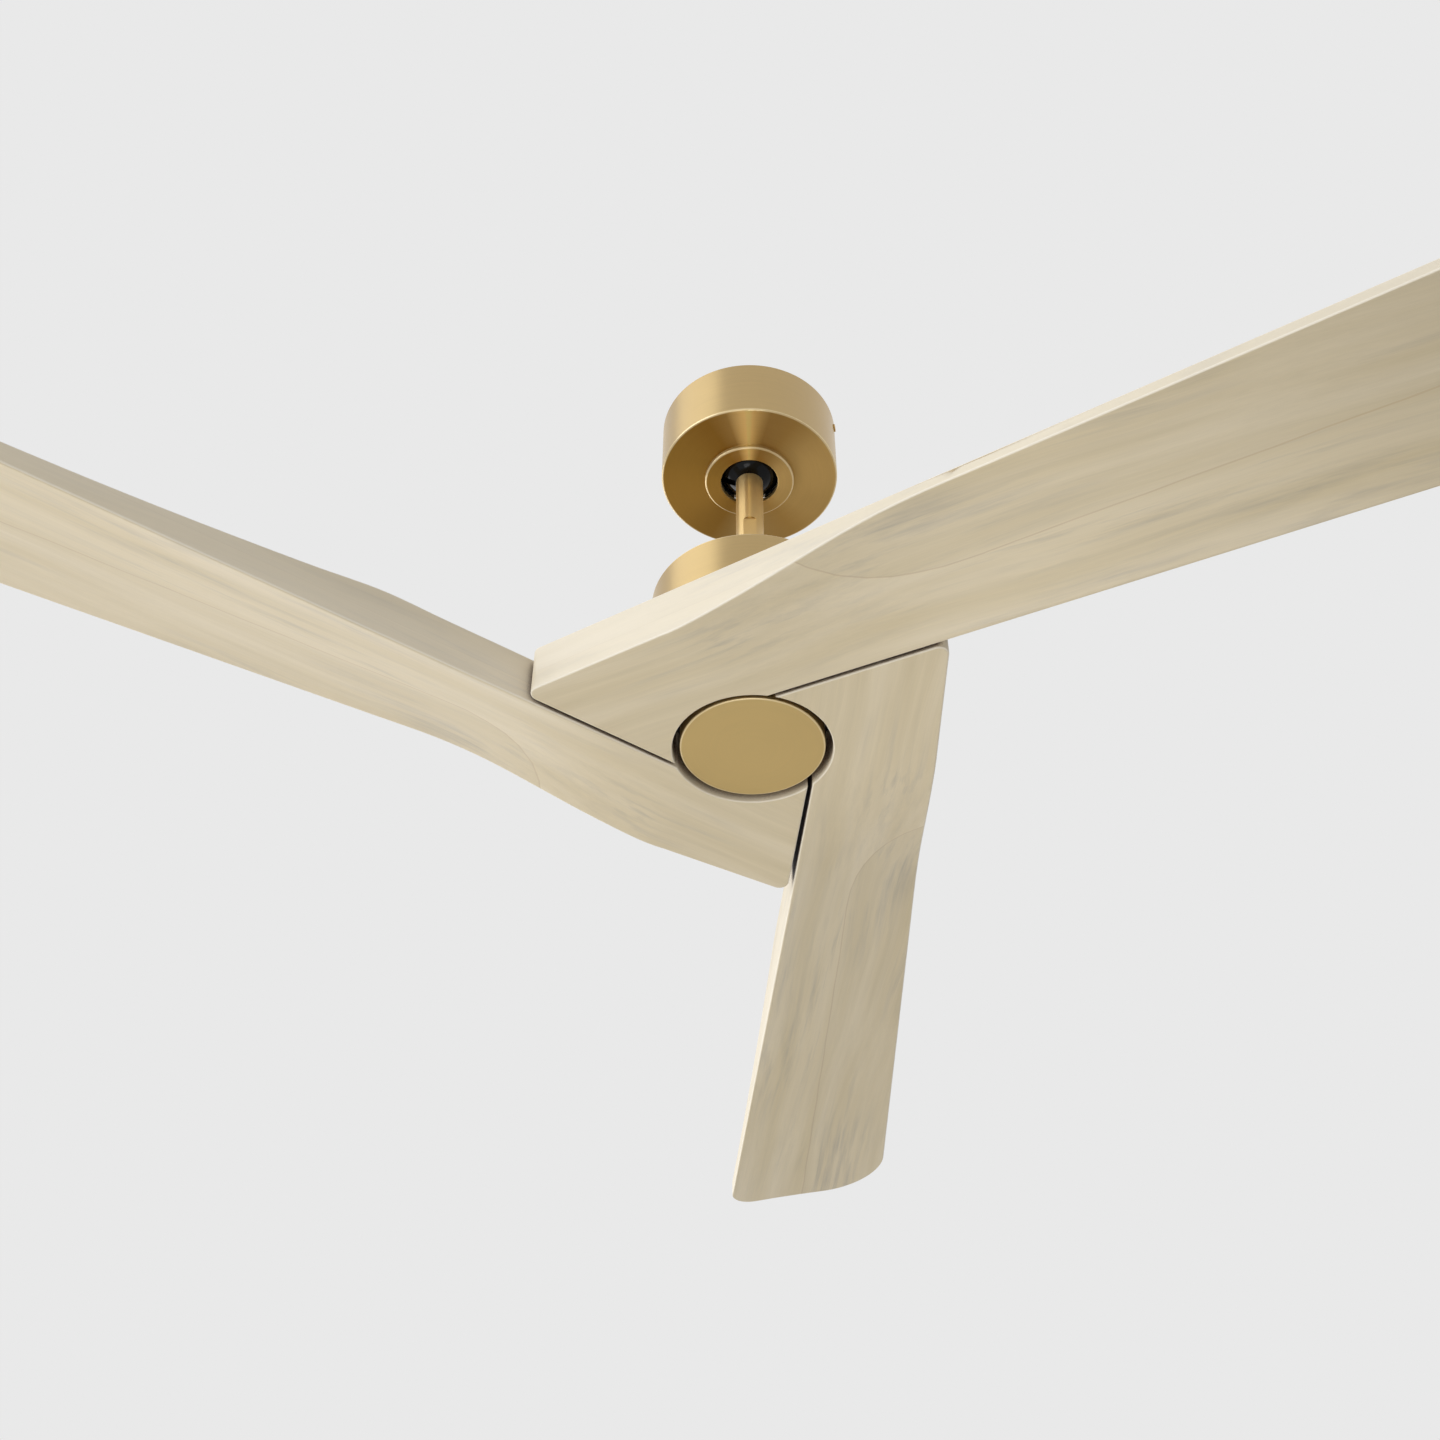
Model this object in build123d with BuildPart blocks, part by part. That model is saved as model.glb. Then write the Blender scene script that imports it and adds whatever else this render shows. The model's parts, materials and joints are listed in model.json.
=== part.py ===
from build123d import *
from math import cos, radians, sin, sqrt, tan
import os

# Three-blade ceiling fan with carved, interlocking wooden blades and a brushed brass body.
# Millimetres. Z is up, and the origin is the centre of the face that lies against the ceiling.
# Everything hangs below it. X and Y are level, and azimuths are measured from +X towards +Y.

os.makedirs("parts", exist_ok=True)

# ---------------------------------------------------------------- clearances
fit_gap = 0.05          # a pin, screw or shaft in its hole
slip_gap = 0.1          # a spigot or a rod in its socket
ball_seat_gap = 0.3     # hanger ball above its seat
race_gap = 0.05         # bearing ball in its groove
rotor_gap = 3.0         # standing housing above the turning blades

# ---------------------------------------------------------------- ceiling mount
canopy_radius = 80.0
canopy_height = 64.0
canopy_wall = 1.6
canopy_edge_round = 1.5
canopy_hole_radius = 36.0
ring_radius = 40.6
ring_opening_radius = 26.0
ring_depth = 4.5
ring_edge_round = 2.0
ring_mouth_round = 0.8
ring_spigot_wall = 4.0
ring_spigot_height = 1.9

plate_width = 84.0
plate_length = 124.0
plate_thickness = 2.5
plate_corner_radius = 10.0
slot_spacing = 88.9
slot_length = 14.0
slot_width = 5.2
wire_hole_radius = 11.0

arm_spacing = 76.0
arm_thickness = 3.0
arm_width = 36.0
seat_radius = 39.0
seat_height = 11.5
seat_bore_radius = 26.0
seat_floor_gap = 0.9
seat_slot_width = 28.0
key_width = 5.4
key_reach = 3.0
key_height = 8.0

ear_width = 18.0
ear_drop = 16.0
ear_wall_gap = 1.0
canopy_screw_depth = 8.0
canopy_screw_azimuth = -9.4
canopy_screw_radius = 2.0
canopy_screw_length = 9.0
canopy_screw_head_radius = 3.6
canopy_screw_head_height = 1.2

earth_screw_x = -27.0
earth_screw_y = -45.0
earth_screw_radius = 2.0
earth_screw_head_radius = 4.0
earth_screw_head_height = 2.6
earth_screw_length = 2.5

terminal_width = 16.0
terminal_length = 36.0
terminal_height = 14.0
terminal_x = 26.0
terminal_y = -43.0
terminal_ways = 3
terminal_bore_radius = 2.6

# ---------------------------------------------------------------- ball and downrod
ball_radius = 33.0
ball_centre_depth = 39.0
ball_top_flat = 13.0
key_groove_clearance = 0.5
key_groove_depth = 4.0
key_groove_start = 13.0
rod_radius = 12.25
rod_wall = 2.3
rod_length = 244.0
rod_above_ball = 24.0
ball_pin_radius = 3.0
ball_pin_length = 51.0
ball_pin_height = 6.0
ball_screw_radius = 2.5
ball_screw_length = 10.0
ball_screw_drop = 7.0

flat_width = 11.6
flat_depth = 1.7
flat_top_below_ball = 90.0
flat_end_above_rod_end = 7.0
flat_corner_radius = 3.0

# ---------------------------------------------------------------- coupling and housing
rod_socket_depth = 28.0
coupling_radius = 20.0
coupling_floor = 3.0
shaft_socket_depth = 14.0
coupling_flange_radius = 34.0
coupling_flange_thickness = 5.0
coupling_pin_radius = 3.0
coupling_pin_length = 48.0
coupling_pin_above_rod_end = 9.0
coupling_screw_radius = 2.5
coupling_screw_length = 9.0
coupling_screw_above_rod_end = 17.0
clip_wire_radius = 0.9
clip_length = 9.0
clip_eye_radius = 2.4
clip_eye_thickness = 1.2

housing_radius = 84.0
housing_height = 114.4
housing_wall = 2.0
housing_edge_round = 1.5
housing_rod_gap = 1.25
housing_screw_circle = 27.0
housing_screw_count = 3
housing_screw_radius = 2.5
housing_screw_head_radius = 4.5
housing_screw_head_height = 3.0

board_inner_radius = 38.0
board_outer_radius = 74.0
board_thickness = 1.6
board_drop = 22.0
standoff_radius = 4.0
standoff_circle = 58.0
standoff_count = 4
board_screw_radius = 1.5
board_screw_head_radius = 2.8
board_screw_head_height = 2.0
board_screw_length = 8.0
capacitor_radius = 9.0
capacitor_height = 16.0
heat_sink_length = 34.0
heat_sink_width = 20.0
heat_sink_height = 14.0
heat_sink_base = 3.0
fin_count = 5
fin_thickness = 1.6
connector_length = 14.0
connector_width = 9.0
connector_height = 8.0

# ---------------------------------------------------------------- motor
shaft_radius = 12.5
shaft_bore_radius = 7.0
shaft_end_reach = 4.3
spacer_radius = 15.0
lower_spacer_length = 17.0
stator_sleeve_length = 38.0

bearing_width = 9.0
bearing_outer_radius = 21.0
inner_race_radius = 15.2
outer_race_radius = 18.3
bearing_ball_radius = 2.6
bearing_ball_count = 7

stator_radius = 65.8
stator_height = 22.0
stator_yoke_radius = 27.0
tooth_count = 12
tooth_width = 8.0
tooth_shoe_depth = 6.5
tooth_shoe_angle = 24.0
coil_thickness = 3.6
coil_inner_radius = 32.0
coil_outer_radius = 56.0

magnet_inner_radius = 66.5
magnet_thickness = 4.5
magnet_height = 26.0
magnet_count = 16
magnet_angle = 20.0
shell_wall = 6.0
shell_plate = 3.0
winding_gap = 2.35
shell_bore_radius = 16.5
boss_wall = 4.0
lip_thickness = 2.5
shell_screw_count = 6
shell_screw_radius = 1.5
shell_screw_length = 12.0
shell_screw_head_radius = 2.8
shell_screw_head_height = 2.2
mount_ring_inner_radius = 43.0
mount_ring_outer_radius = 53.0

# ---------------------------------------------------------------- hub plate
hub_plate_radius = 112.0
hub_plate_thickness = 5.0
hub_plate_bore_radius = 20.0
hub_plate_edge_gap = 0.3
hub_screw_count = 6
hub_screw_circle = 48.0
hub_screw_radius = 2.5
hub_screw_length = 11.0
hub_screw_head_radius = 4.5
hub_screw_head_height = 3.0
gasket_thickness = 1.0
gasket_inner_radius = 64.7
gasket_outer_radius = 111.4

blade_screw_circle = 100.0
blade_screw_angles = (-138.0, -108.0, -78.0)
blade_screw_radius = 3.0
blade_screw_length = 21.0
blade_screw_head_radius = 5.2
blade_screw_head_height = 3.2
insert_radius = 4.5
insert_length = 16.0
insert_hole_extra = 4.0

# ---------------------------------------------------------------- hub cap
cap_radius = 57.7
cap_recess = 2.8
cap_wall = 1.6
cap_edge_round = 1.0
cap_lug_count = 3
cap_lug_angle = 24.0
cap_lug_reach = 5.0
cap_lug_thickness = 2.0
cap_notch_angle = 30.0
cap_lug_turn = 60.0
carrier_thickness = 3.0
carrier_rim_gap = 0.3
washer_radius = 19.0
washer_thickness = 1.2
nut_across_flats = 34.0
nut_height = 7.5

# ---------------------------------------------------------------- blades
# In a blade's own frame X runs out along the blade, the blade lies on the -Y side of the hub
# axis, and Z = 0 is the flat underside of its root.
blade_count = 3
blade_azimuth = -23.55
blade_tip_radius = 762.0
blade_thickness = 44.6
inner_edge_offset = 52.4
inner_edge_splay = 0.18
outer_edge_offset = 146.7
outer_edge_splay = 5.84
hub_opening_radius = 63.7
root_joint_gap = 3.4
root_corner_radius = 8.0
flare_angle = 24.0
blade_edge_round = 1.6
carve_start = -12.0
carve_end = 205.0
leading_edge_rise = 33.4
underside_camber = 2.4
taper_start = 305.0
taper_length = 420.0
trailing_edge_drop = 29.0
topside_crown = 2.5
tip_leading_radius = 60.0
tip_trailing_radius = 30.0
tip_trim = 6.0
station_count = 19

# ---------------------------------------------------------------- levels, measured up from the ceiling
ball_z = -ball_centre_depth
rod_top_z = ball_z + rod_above_ball
rod_end_z = rod_top_z - rod_length
housing_top_z = rod_end_z + rod_socket_depth
housing_bottom_z = housing_top_z - housing_height
housing_roof_z = housing_top_z - housing_wall
shaft_top_z = rod_end_z - coupling_floor
coupling_bottom_z = shaft_top_z - shaft_socket_depth
blade_top_z = housing_bottom_z - rotor_gap
# the motor is stacked up from the hub plate, and the upper spacer fills what is left above it
lower_boss_z = blade_top_z + lip_thickness
lower_bearing_z = lower_boss_z + bearing_width
stator_top_z = lower_bearing_z + stator_sleeve_length
upper_bearing_z = stator_top_z + bearing_width
upper_spacer_length = coupling_bottom_z - upper_bearing_z
stator_mid_z = stator_top_z - stator_sleeve_length / 2
carrier_z = lower_boss_z - lower_spacer_length
blade_bottom_z = blade_top_z - blade_thickness
hub_plate_bottom_z = blade_top_z - hub_plate_thickness
gasket_bottom_z = hub_plate_bottom_z - gasket_thickness
cap_bottom_z = blade_bottom_z + cap_recess
shell_inner_radius = magnet_inner_radius + magnet_thickness
shell_outer_radius = shell_inner_radius + shell_wall
shell_top_z = upper_bearing_z + lip_thickness
coil_height = stator_height + 2 * (coil_thickness + fit_gap)
shell_split_z = stator_mid_z - coil_height / 2 - winding_gap
canopy_floor_z = canopy_wall - canopy_height
blade_turn = 360.0 / blade_count


def finish(piece, name):
    """Label a finished piece and write it as the node of that name."""
    piece.part.label = name
    export_step(piece.part, f"parts/{name}.step")


def radial_plane(azimuth, radius, level):
    """Plane that faces outward at an azimuth, a radius and a level."""
    outward = Vector(cos(radians(azimuth)), sin(radians(azimuth)), 0)
    return Plane(origin=outward * radius + Vector(0, 0, level), x_dir=(0, 0, 1), z_dir=outward)


def sector(inner, outer, angle):
    """Face of a ring sector, centred on +X."""
    reach = 2 * outer
    half = radians(angle / 2)
    with BuildSketch() as face:
        Circle(outer)
        Circle(inner, mode=Mode.SUBTRACT)
        with BuildLine():
            Polyline((0, 0), (reach * cos(half), -reach * sin(half)), (reach * cos(half), reach * sin(half)), close=True)
        make_face(mode=Mode.INTERSECT)
    return face.sketch


# ================================================================ ceiling mount
# Mounting bracket: slotted ceiling plate, two arms, a cup that carries the ball, and two ears
# bent down for the canopy screws.
seat_bottom_z = canopy_floor_z + seat_floor_gap
ear_outer = canopy_radius - canopy_wall - ear_wall_gap
ear_axis = radial_plane(canopy_screw_azimuth, 0, -canopy_screw_depth)
with BuildPart() as mounting_bracket:
    with BuildSketch(Plane.XY.offset(-plate_thickness)):
        RectangleRounded(plate_width, plate_length, plate_corner_radius)
        Rectangle(2 * ear_outer, ear_width, rotation=canopy_screw_azimuth)
        Circle(wire_hole_radius, mode=Mode.SUBTRACT)
        with Locations((0, slot_spacing / 2), (0, -slot_spacing / 2)):
            SlotOverall(slot_length, slot_width, rotation=90, mode=Mode.SUBTRACT)
        with Locations((earth_screw_x, earth_screw_y)):
            Circle(earth_screw_radius + fit_gap, mode=Mode.SUBTRACT)
    extrude(amount=plate_thickness)
    # ears bent down inside the canopy wall
    with BuildSketch(Plane.XY):
        with PolarLocations(ear_outer - plate_thickness / 2, 2, canopy_screw_azimuth):
            Rectangle(plate_thickness, ear_width)
    extrude(amount=-ear_drop)
    # arms from the plate down to the cup
    with BuildSketch(Plane.XY):
        with GridLocations(arm_spacing + arm_thickness, 0, 2, 1):
            Rectangle(arm_thickness, arm_width)
    extrude(amount=seat_bottom_z)
    # cup: a ring hollowed by the ball's sphere, open at the back so that the rod can enter
    with BuildSketch(Plane.XY.offset(seat_bottom_z)):
        Circle(seat_radius)
        Circle(seat_bore_radius, mode=Mode.SUBTRACT)
        with Locations((0, seat_radius)):
            Rectangle(seat_slot_width, 2 * seat_radius, mode=Mode.SUBTRACT)
    extrude(amount=seat_height)
    with Locations((0, 0, ball_z)):
        Sphere(ball_radius + ball_seat_gap, mode=Mode.SUBTRACT)
    # key that stops the ball from turning
    key_tip = ball_radius + ball_seat_gap - key_reach
    with BuildSketch(Plane.XY.offset(seat_bottom_z + seat_height - key_height)):
        with Locations((-(key_tip + arm_spacing / 2) / 2, 0)):
            Rectangle(arm_spacing / 2 - key_tip, key_width)
    extrude(amount=key_height)
    # threaded holes for the canopy screws
    with BuildSketch(ear_axis):
        Circle(canopy_screw_radius + fit_gap)
    extrude(amount=canopy_radius, both=True, mode=Mode.SUBTRACT)
finish(mounting_bracket, "mounting_bracket")

with BuildPart() as earth_screw:
    with BuildSketch(Plane.XY.offset(-plate_thickness)):
        with Locations((earth_screw_x, earth_screw_y)):
            Circle(earth_screw_head_radius)
    extrude(amount=-earth_screw_head_height)
    with BuildSketch(Plane.XY.offset(-plate_thickness)):
        with Locations((earth_screw_x, earth_screw_y)):
            Circle(earth_screw_radius)
    extrude(amount=earth_screw_length)
finish(earth_screw, "earth_screw")

# Terminal block for the supply wires, with a clamp bore and a screw well for each way.
terminal_pitch = terminal_length / terminal_ways
terminal_mid_z = -plate_thickness - terminal_height / 2
with BuildPart() as terminal_block:
    with BuildSketch(Plane.XY.offset(-plate_thickness)):
        with Locations((terminal_x, terminal_y)):
            Rectangle(terminal_width, terminal_length)
    extrude(amount=-terminal_height)
    with BuildSketch(Plane(origin=(terminal_x, terminal_y, terminal_mid_z), x_dir=(0, 1, 0), z_dir=(1, 0, 0))):
        with GridLocations(terminal_pitch, 0, terminal_ways, 1):
            Circle(terminal_bore_radius)
    extrude(amount=terminal_width, both=True, mode=Mode.SUBTRACT)
    with BuildSketch(Plane.XY.offset(terminal_mid_z)):
        with Locations((terminal_x, terminal_y)):
            with GridLocations(0, terminal_pitch, 1, terminal_ways):
                Circle(terminal_bore_radius)
    extrude(amount=-terminal_height, mode=Mode.SUBTRACT)
finish(terminal_block, "terminal_block")

# Canopy: a spun cup, open at the ceiling, with a hole in its floor for the ball.
with BuildPart() as canopy:
    with BuildSketch(Plane.XY):
        Circle(canopy_radius)
    extrude(amount=-canopy_height)
    fillet(canopy.edges().group_by(Axis.Z)[0], radius=canopy_edge_round)
    with BuildSketch(Plane.XY):
        Circle(canopy_radius - canopy_wall)
    extrude(amount=canopy_floor_z, mode=Mode.SUBTRACT)
    with BuildSketch(Plane.XY):
        Circle(canopy_hole_radius)
    extrude(amount=-2 * canopy_height, mode=Mode.SUBTRACT)
    with BuildSketch(ear_axis):
        Circle(canopy_screw_radius + slip_gap)
    extrude(amount=2 * canopy_radius, both=True, mode=Mode.SUBTRACT)
finish(canopy, "canopy")

# Trim ring under the canopy's hole, with a rounded rim and a spigot that centres it.
ring_spigot_radius = canopy_hole_radius - slip_gap
with BuildPart() as canopy_ring:
    with BuildSketch(Plane.XY.offset(-canopy_height)):
        Circle(ring_radius)
    extrude(amount=-ring_depth)
    fillet(canopy_ring.edges().group_by(Axis.Z)[0], radius=ring_edge_round)
    with BuildSketch(Plane.XY.offset(-canopy_height)):
        Circle(ring_spigot_radius)
        Circle(ring_spigot_radius - ring_spigot_wall, mode=Mode.SUBTRACT)
    extrude(amount=ring_spigot_height)
    with BuildSketch(Plane.XY.offset(-canopy_height)):
        Circle(ring_opening_radius)
    extrude(amount=-2 * ring_depth, mode=Mode.SUBTRACT)
    mouth = canopy_ring.edges().filter_by(GeomType.CIRCLE).group_by(Axis.Z)[0].sort_by(SortBy.RADIUS)[0]
    fillet(mouth, radius=ring_mouth_round)
finish(canopy_ring, "canopy_ring")

# The two side screws that hold the canopy on the bracket's ears.
with BuildPart() as canopy_screws:
    for side in (0, 180):
        with BuildSketch(radial_plane(canopy_screw_azimuth + side, canopy_radius, -canopy_screw_depth)):
            Circle(canopy_screw_head_radius)
        extrude(amount=canopy_screw_head_height)
        with BuildSketch(radial_plane(canopy_screw_azimuth + side, canopy_radius, -canopy_screw_depth)):
            Circle(canopy_screw_radius)
        extrude(amount=-canopy_screw_length)
finish(canopy_screws, "canopy_screws")

# ================================================================ ball and downrod
# Hanger ball: bored for the rod, slotted across its top for the pin, grooved for the key.
ball_pin_z = ball_z + ball_pin_height
with BuildPart() as hanger_ball:
    with Locations((0, 0, ball_z)):
        Sphere(ball_radius)
    with BuildSketch(Plane.XY.offset(ball_z + ball_top_flat)):
        Circle(2 * ball_radius)
    extrude(amount=ball_radius, mode=Mode.SUBTRACT)
    with BuildSketch(Plane.XY.offset(ball_z)):
        Circle(rod_radius + slip_gap)
    extrude(amount=ball_radius, both=True, mode=Mode.SUBTRACT)
    # slot that the pin drops into, with a round bottom
    with BuildSketch(Plane(origin=(0, 0, ball_pin_z), z_dir=(0, 1, 0))):
        Circle(ball_pin_radius + fit_gap)
    extrude(amount=ball_pin_length / 2 + slip_gap, both=True, mode=Mode.SUBTRACT)
    with BuildSketch(Plane.XY.offset(ball_pin_z)):
        Rectangle(2 * (ball_pin_radius + fit_gap), ball_pin_length + 2 * slip_gap)
    extrude(amount=ball_radius, mode=Mode.SUBTRACT)
    # key groove along the meridian on the -X side
    with BuildSketch(Plane(origin=(0, 0, ball_z), x_dir=(1, 0, 0), z_dir=(0, -1, 0))):
        Circle(ball_radius + slip_gap)
        Circle(ball_radius - key_groove_depth, mode=Mode.SUBTRACT)
        with Locations((ball_radius - key_groove_start, 0)):
            Rectangle(2 * ball_radius, 3 * ball_radius, mode=Mode.SUBTRACT)
    extrude(amount=key_width / 2 + key_groove_clearance, both=True, mode=Mode.SUBTRACT)
    # threaded hole for the set screw
    with BuildSketch(radial_plane(0, 0, ball_z - ball_screw_drop)):
        Circle(ball_screw_radius + fit_gap)
    extrude(amount=ball_radius, mode=Mode.SUBTRACT)
finish(hanger_ball, "hanger_ball")

with BuildPart() as ball_pin:
    with BuildSketch(Plane(origin=(0, 0, ball_pin_z), z_dir=(0, 1, 0))):
        Circle(ball_pin_radius)
    extrude(amount=ball_pin_length / 2, both=True)
finish(ball_pin, "ball_pin")

with BuildPart() as ball_set_screw:
    with BuildSketch(radial_plane(0, rod_radius + fit_gap, ball_z - ball_screw_drop)):
        Circle(ball_screw_radius)
    extrude(amount=ball_screw_length)
finish(ball_set_screw, "ball_set_screw")

# Downrod: a tube with cross holes for its two pins and a milled flat for the set screw.
flat_top_z = ball_z - flat_top_below_ball
flat_end_z = rod_end_z + flat_end_above_rod_end
coupling_pin_z = rod_end_z + coupling_pin_above_rod_end
coupling_screw_z = rod_end_z + coupling_screw_above_rod_end
with BuildPart() as downrod:
    with BuildSketch(Plane.XY.offset(rod_end_z)):
        Circle(rod_radius)
        Circle(rod_radius - rod_wall, mode=Mode.SUBTRACT)
    extrude(amount=rod_length)
    with BuildSketch(Plane(origin=(0, 0, ball_pin_z), z_dir=(0, 1, 0))):
        Circle(ball_pin_radius + fit_gap)
    extrude(amount=2 * rod_radius, both=True, mode=Mode.SUBTRACT)
    with BuildSketch(radial_plane(0, 0, coupling_pin_z)):
        Circle(coupling_pin_radius + fit_gap)
    extrude(amount=2 * rod_radius, both=True, mode=Mode.SUBTRACT)
    flat_mid_z = (flat_top_z + flat_end_z) / 2
    flat_face = Plane(origin=(0, flat_depth - rod_radius, flat_mid_z), x_dir=(1, 0, 0), z_dir=(0, -1, 0))
    with BuildSketch(flat_face):
        RectangleRounded(flat_width, flat_top_z - flat_end_z, flat_corner_radius)
    extrude(amount=rod_radius, mode=Mode.SUBTRACT)
finish(downrod, "downrod")

# ================================================================ coupling and housing
# Coupling: takes the rod from above and the motor shaft from below, and carries the housing.
housing_screw_spots = PolarLocations(housing_screw_circle, housing_screw_count, 90)
with BuildPart() as rod_coupling:
    with BuildSketch(Plane.XY.offset(housing_roof_z)):
        Circle(coupling_flange_radius)
    extrude(amount=-coupling_flange_thickness)
    with BuildSketch(Plane.XY.offset(housing_roof_z)):
        Circle(coupling_radius)
    extrude(amount=coupling_bottom_z - housing_roof_z)
    with BuildSketch(Plane.XY.offset(rod_end_z)):
        Circle(rod_radius + slip_gap)
    extrude(amount=rod_length, mode=Mode.SUBTRACT)
    with BuildSketch(Plane.XY.offset(shaft_top_z)):
        Circle(shaft_radius + fit_gap)
    extrude(amount=-2 * shaft_socket_depth, mode=Mode.SUBTRACT)
    with BuildSketch(Plane.XY.offset(rod_end_z)):
        Circle(shaft_bore_radius)
    extrude(amount=coupling_floor, both=True, mode=Mode.SUBTRACT)
    with BuildSketch(radial_plane(0, 0, coupling_pin_z)):
        Circle(coupling_pin_radius + fit_gap)
    extrude(amount=2 * coupling_radius, both=True, mode=Mode.SUBTRACT)
    with BuildSketch(radial_plane(90, 0, coupling_screw_z)):
        Circle(coupling_screw_radius + fit_gap)
    extrude(amount=2 * coupling_radius, both=True, mode=Mode.SUBTRACT)
    with BuildSketch(Plane.XY.offset(housing_roof_z)):
        with housing_screw_spots:
            Circle(housing_screw_radius + fit_gap)
    extrude(amount=-coupling_flange_thickness, mode=Mode.SUBTRACT)
finish(rod_coupling, "rod_coupling")

clip_x = (coupling_radius + coupling_pin_length / 2) / 2
with BuildPart() as coupling_pin:
    with BuildSketch(radial_plane(0, 0, coupling_pin_z)):
        Circle(coupling_pin_radius)
    extrude(amount=coupling_pin_length / 2, both=True)
    with BuildSketch(Plane.XY.offset(coupling_pin_z)):
        with Locations((clip_x, 0)):
            Circle(clip_wire_radius + fit_gap)
    extrude(amount=coupling_pin_radius, both=True, mode=Mode.SUBTRACT)
finish(coupling_pin, "coupling_pin")

# Split pin through the end of the coupling pin, with a flat eye above.
eye_z = coupling_pin_z + clip_length / 2
with BuildPart() as pin_clip:
    with BuildSketch(Plane.XY.offset(eye_z)):
        with Locations((clip_x, 0)):
            Circle(clip_wire_radius)
    extrude(amount=-clip_length)
    with BuildSketch(Plane(origin=(clip_x, 0, eye_z + clip_eye_radius), x_dir=(0, 1, 0), z_dir=(1, 0, 0))):
        Circle(clip_eye_radius + clip_wire_radius)
        Circle(clip_eye_radius - clip_wire_radius, mode=Mode.SUBTRACT)
    extrude(amount=clip_eye_thickness / 2, both=True)
finish(pin_clip, "pin_clip")

# One set screw bears on the rod's round side, the other on its milled flat.
with BuildPart() as coupling_set_screws:
    with BuildSketch(radial_plane(90, rod_radius + fit_gap, coupling_screw_z)):
        Circle(coupling_screw_radius)
    extrude(amount=coupling_screw_length)
    with BuildSketch(radial_plane(-90, rod_radius - flat_depth + fit_gap, coupling_screw_z)):
        Circle(coupling_screw_radius)
    extrude(amount=coupling_screw_length)
finish(coupling_set_screws, "coupling_set_screws")

# Motor housing: a spun drum, closed on top round the rod and open at the blades.
with BuildPart() as motor_housing:
    with BuildSketch(Plane.XY.offset(housing_bottom_z)):
        Circle(housing_radius)
    extrude(amount=housing_height)
    fillet(motor_housing.edges().group_by(Axis.Z)[-1], radius=housing_edge_round)
    with BuildSketch(Plane.XY.offset(housing_roof_z)):
        Circle(housing_radius - housing_wall)
    extrude(amount=-housing_height, mode=Mode.SUBTRACT)
    with BuildSketch(Plane.XY.offset(housing_roof_z)):
        Circle(rod_radius + housing_rod_gap)
        with housing_screw_spots:
            Circle(housing_screw_radius + slip_gap)
    extrude(amount=2 * housing_wall, mode=Mode.SUBTRACT)
finish(motor_housing, "motor_housing")

with BuildPart() as housing_screws:
    with BuildSketch(Plane.XY.offset(housing_top_z)):
        with housing_screw_spots:
            Circle(housing_screw_head_radius)
    extrude(amount=housing_screw_head_height)
    with BuildSketch(Plane.XY.offset(housing_top_z)):
        with housing_screw_spots:
            Circle(housing_screw_radius)
    extrude(amount=-housing_wall - coupling_flange_thickness)
finish(housing_screws, "housing_screws")

# Controller: a ring-shaped board hung from the housing's roof on four standoffs.
board_top_z = housing_roof_z - board_drop
board_bottom_z = board_top_z - board_thickness
standoff_spots = PolarLocations(standoff_circle, standoff_count, 45)
with BuildPart() as board_standoffs:
    with BuildSketch(Plane.XY.offset(housing_roof_z)):
        with standoff_spots:
            Circle(standoff_radius)
    extrude(amount=-board_drop)
    with BuildSketch(Plane.XY.offset(board_top_z)):
        with standoff_spots:
            Circle(board_screw_radius + fit_gap)
    extrude(amount=board_screw_length, mode=Mode.SUBTRACT)
finish(board_standoffs, "board_standoffs")

with BuildPart() as controller_board:
    with BuildSketch(Plane.XY.offset(board_bottom_z)):
        Circle(board_outer_radius)
        Circle(board_inner_radius, mode=Mode.SUBTRACT)
        with standoff_spots:
            Circle(board_screw_radius + slip_gap, mode=Mode.SUBTRACT)
    extrude(amount=board_thickness)
finish(controller_board, "controller_board")

with BuildPart() as board_screws:
    with BuildSketch(Plane.XY.offset(board_bottom_z)):
        with standoff_spots:
            Circle(board_screw_head_radius)
    extrude(amount=-board_screw_head_height)
    with BuildSketch(Plane.XY.offset(board_bottom_z)):
        with standoff_spots:
            Circle(board_screw_radius)
    extrude(amount=board_screw_length)
finish(board_screws, "board_screws")

# Parts on the underside of the board: two capacitors, a finned heat sink and a connector.
part_circle = (board_inner_radius + board_outer_radius) / 2
fin_pitch = (heat_sink_length - fin_thickness) / (fin_count - 1)
with BuildPart() as board_parts:
    with BuildSketch(Plane.XY.offset(board_bottom_z)):
        with Locations((part_circle, 0), (-part_circle, 0)):
            Circle(capacitor_radius)
    extrude(amount=-capacitor_height)
    with BuildSketch(Plane.XY.offset(board_bottom_z)):
        with Locations((0, part_circle)):
            Rectangle(heat_sink_length, heat_sink_width)
    extrude(amount=-heat_sink_base)
    with BuildSketch(Plane.XY.offset(board_bottom_z - heat_sink_base)):
        with Locations((0, part_circle)):
            with GridLocations(fin_pitch, 0, fin_count, 1):
                Rectangle(fin_thickness, heat_sink_width)
    extrude(amount=heat_sink_base - heat_sink_height)
    with BuildSketch(Plane.XY.offset(board_bottom_z)):
        with Locations((0, -part_circle)):
            Rectangle(connector_length, connector_width)
    extrude(amount=-connector_height)
finish(board_parts, "board_parts")

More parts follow.
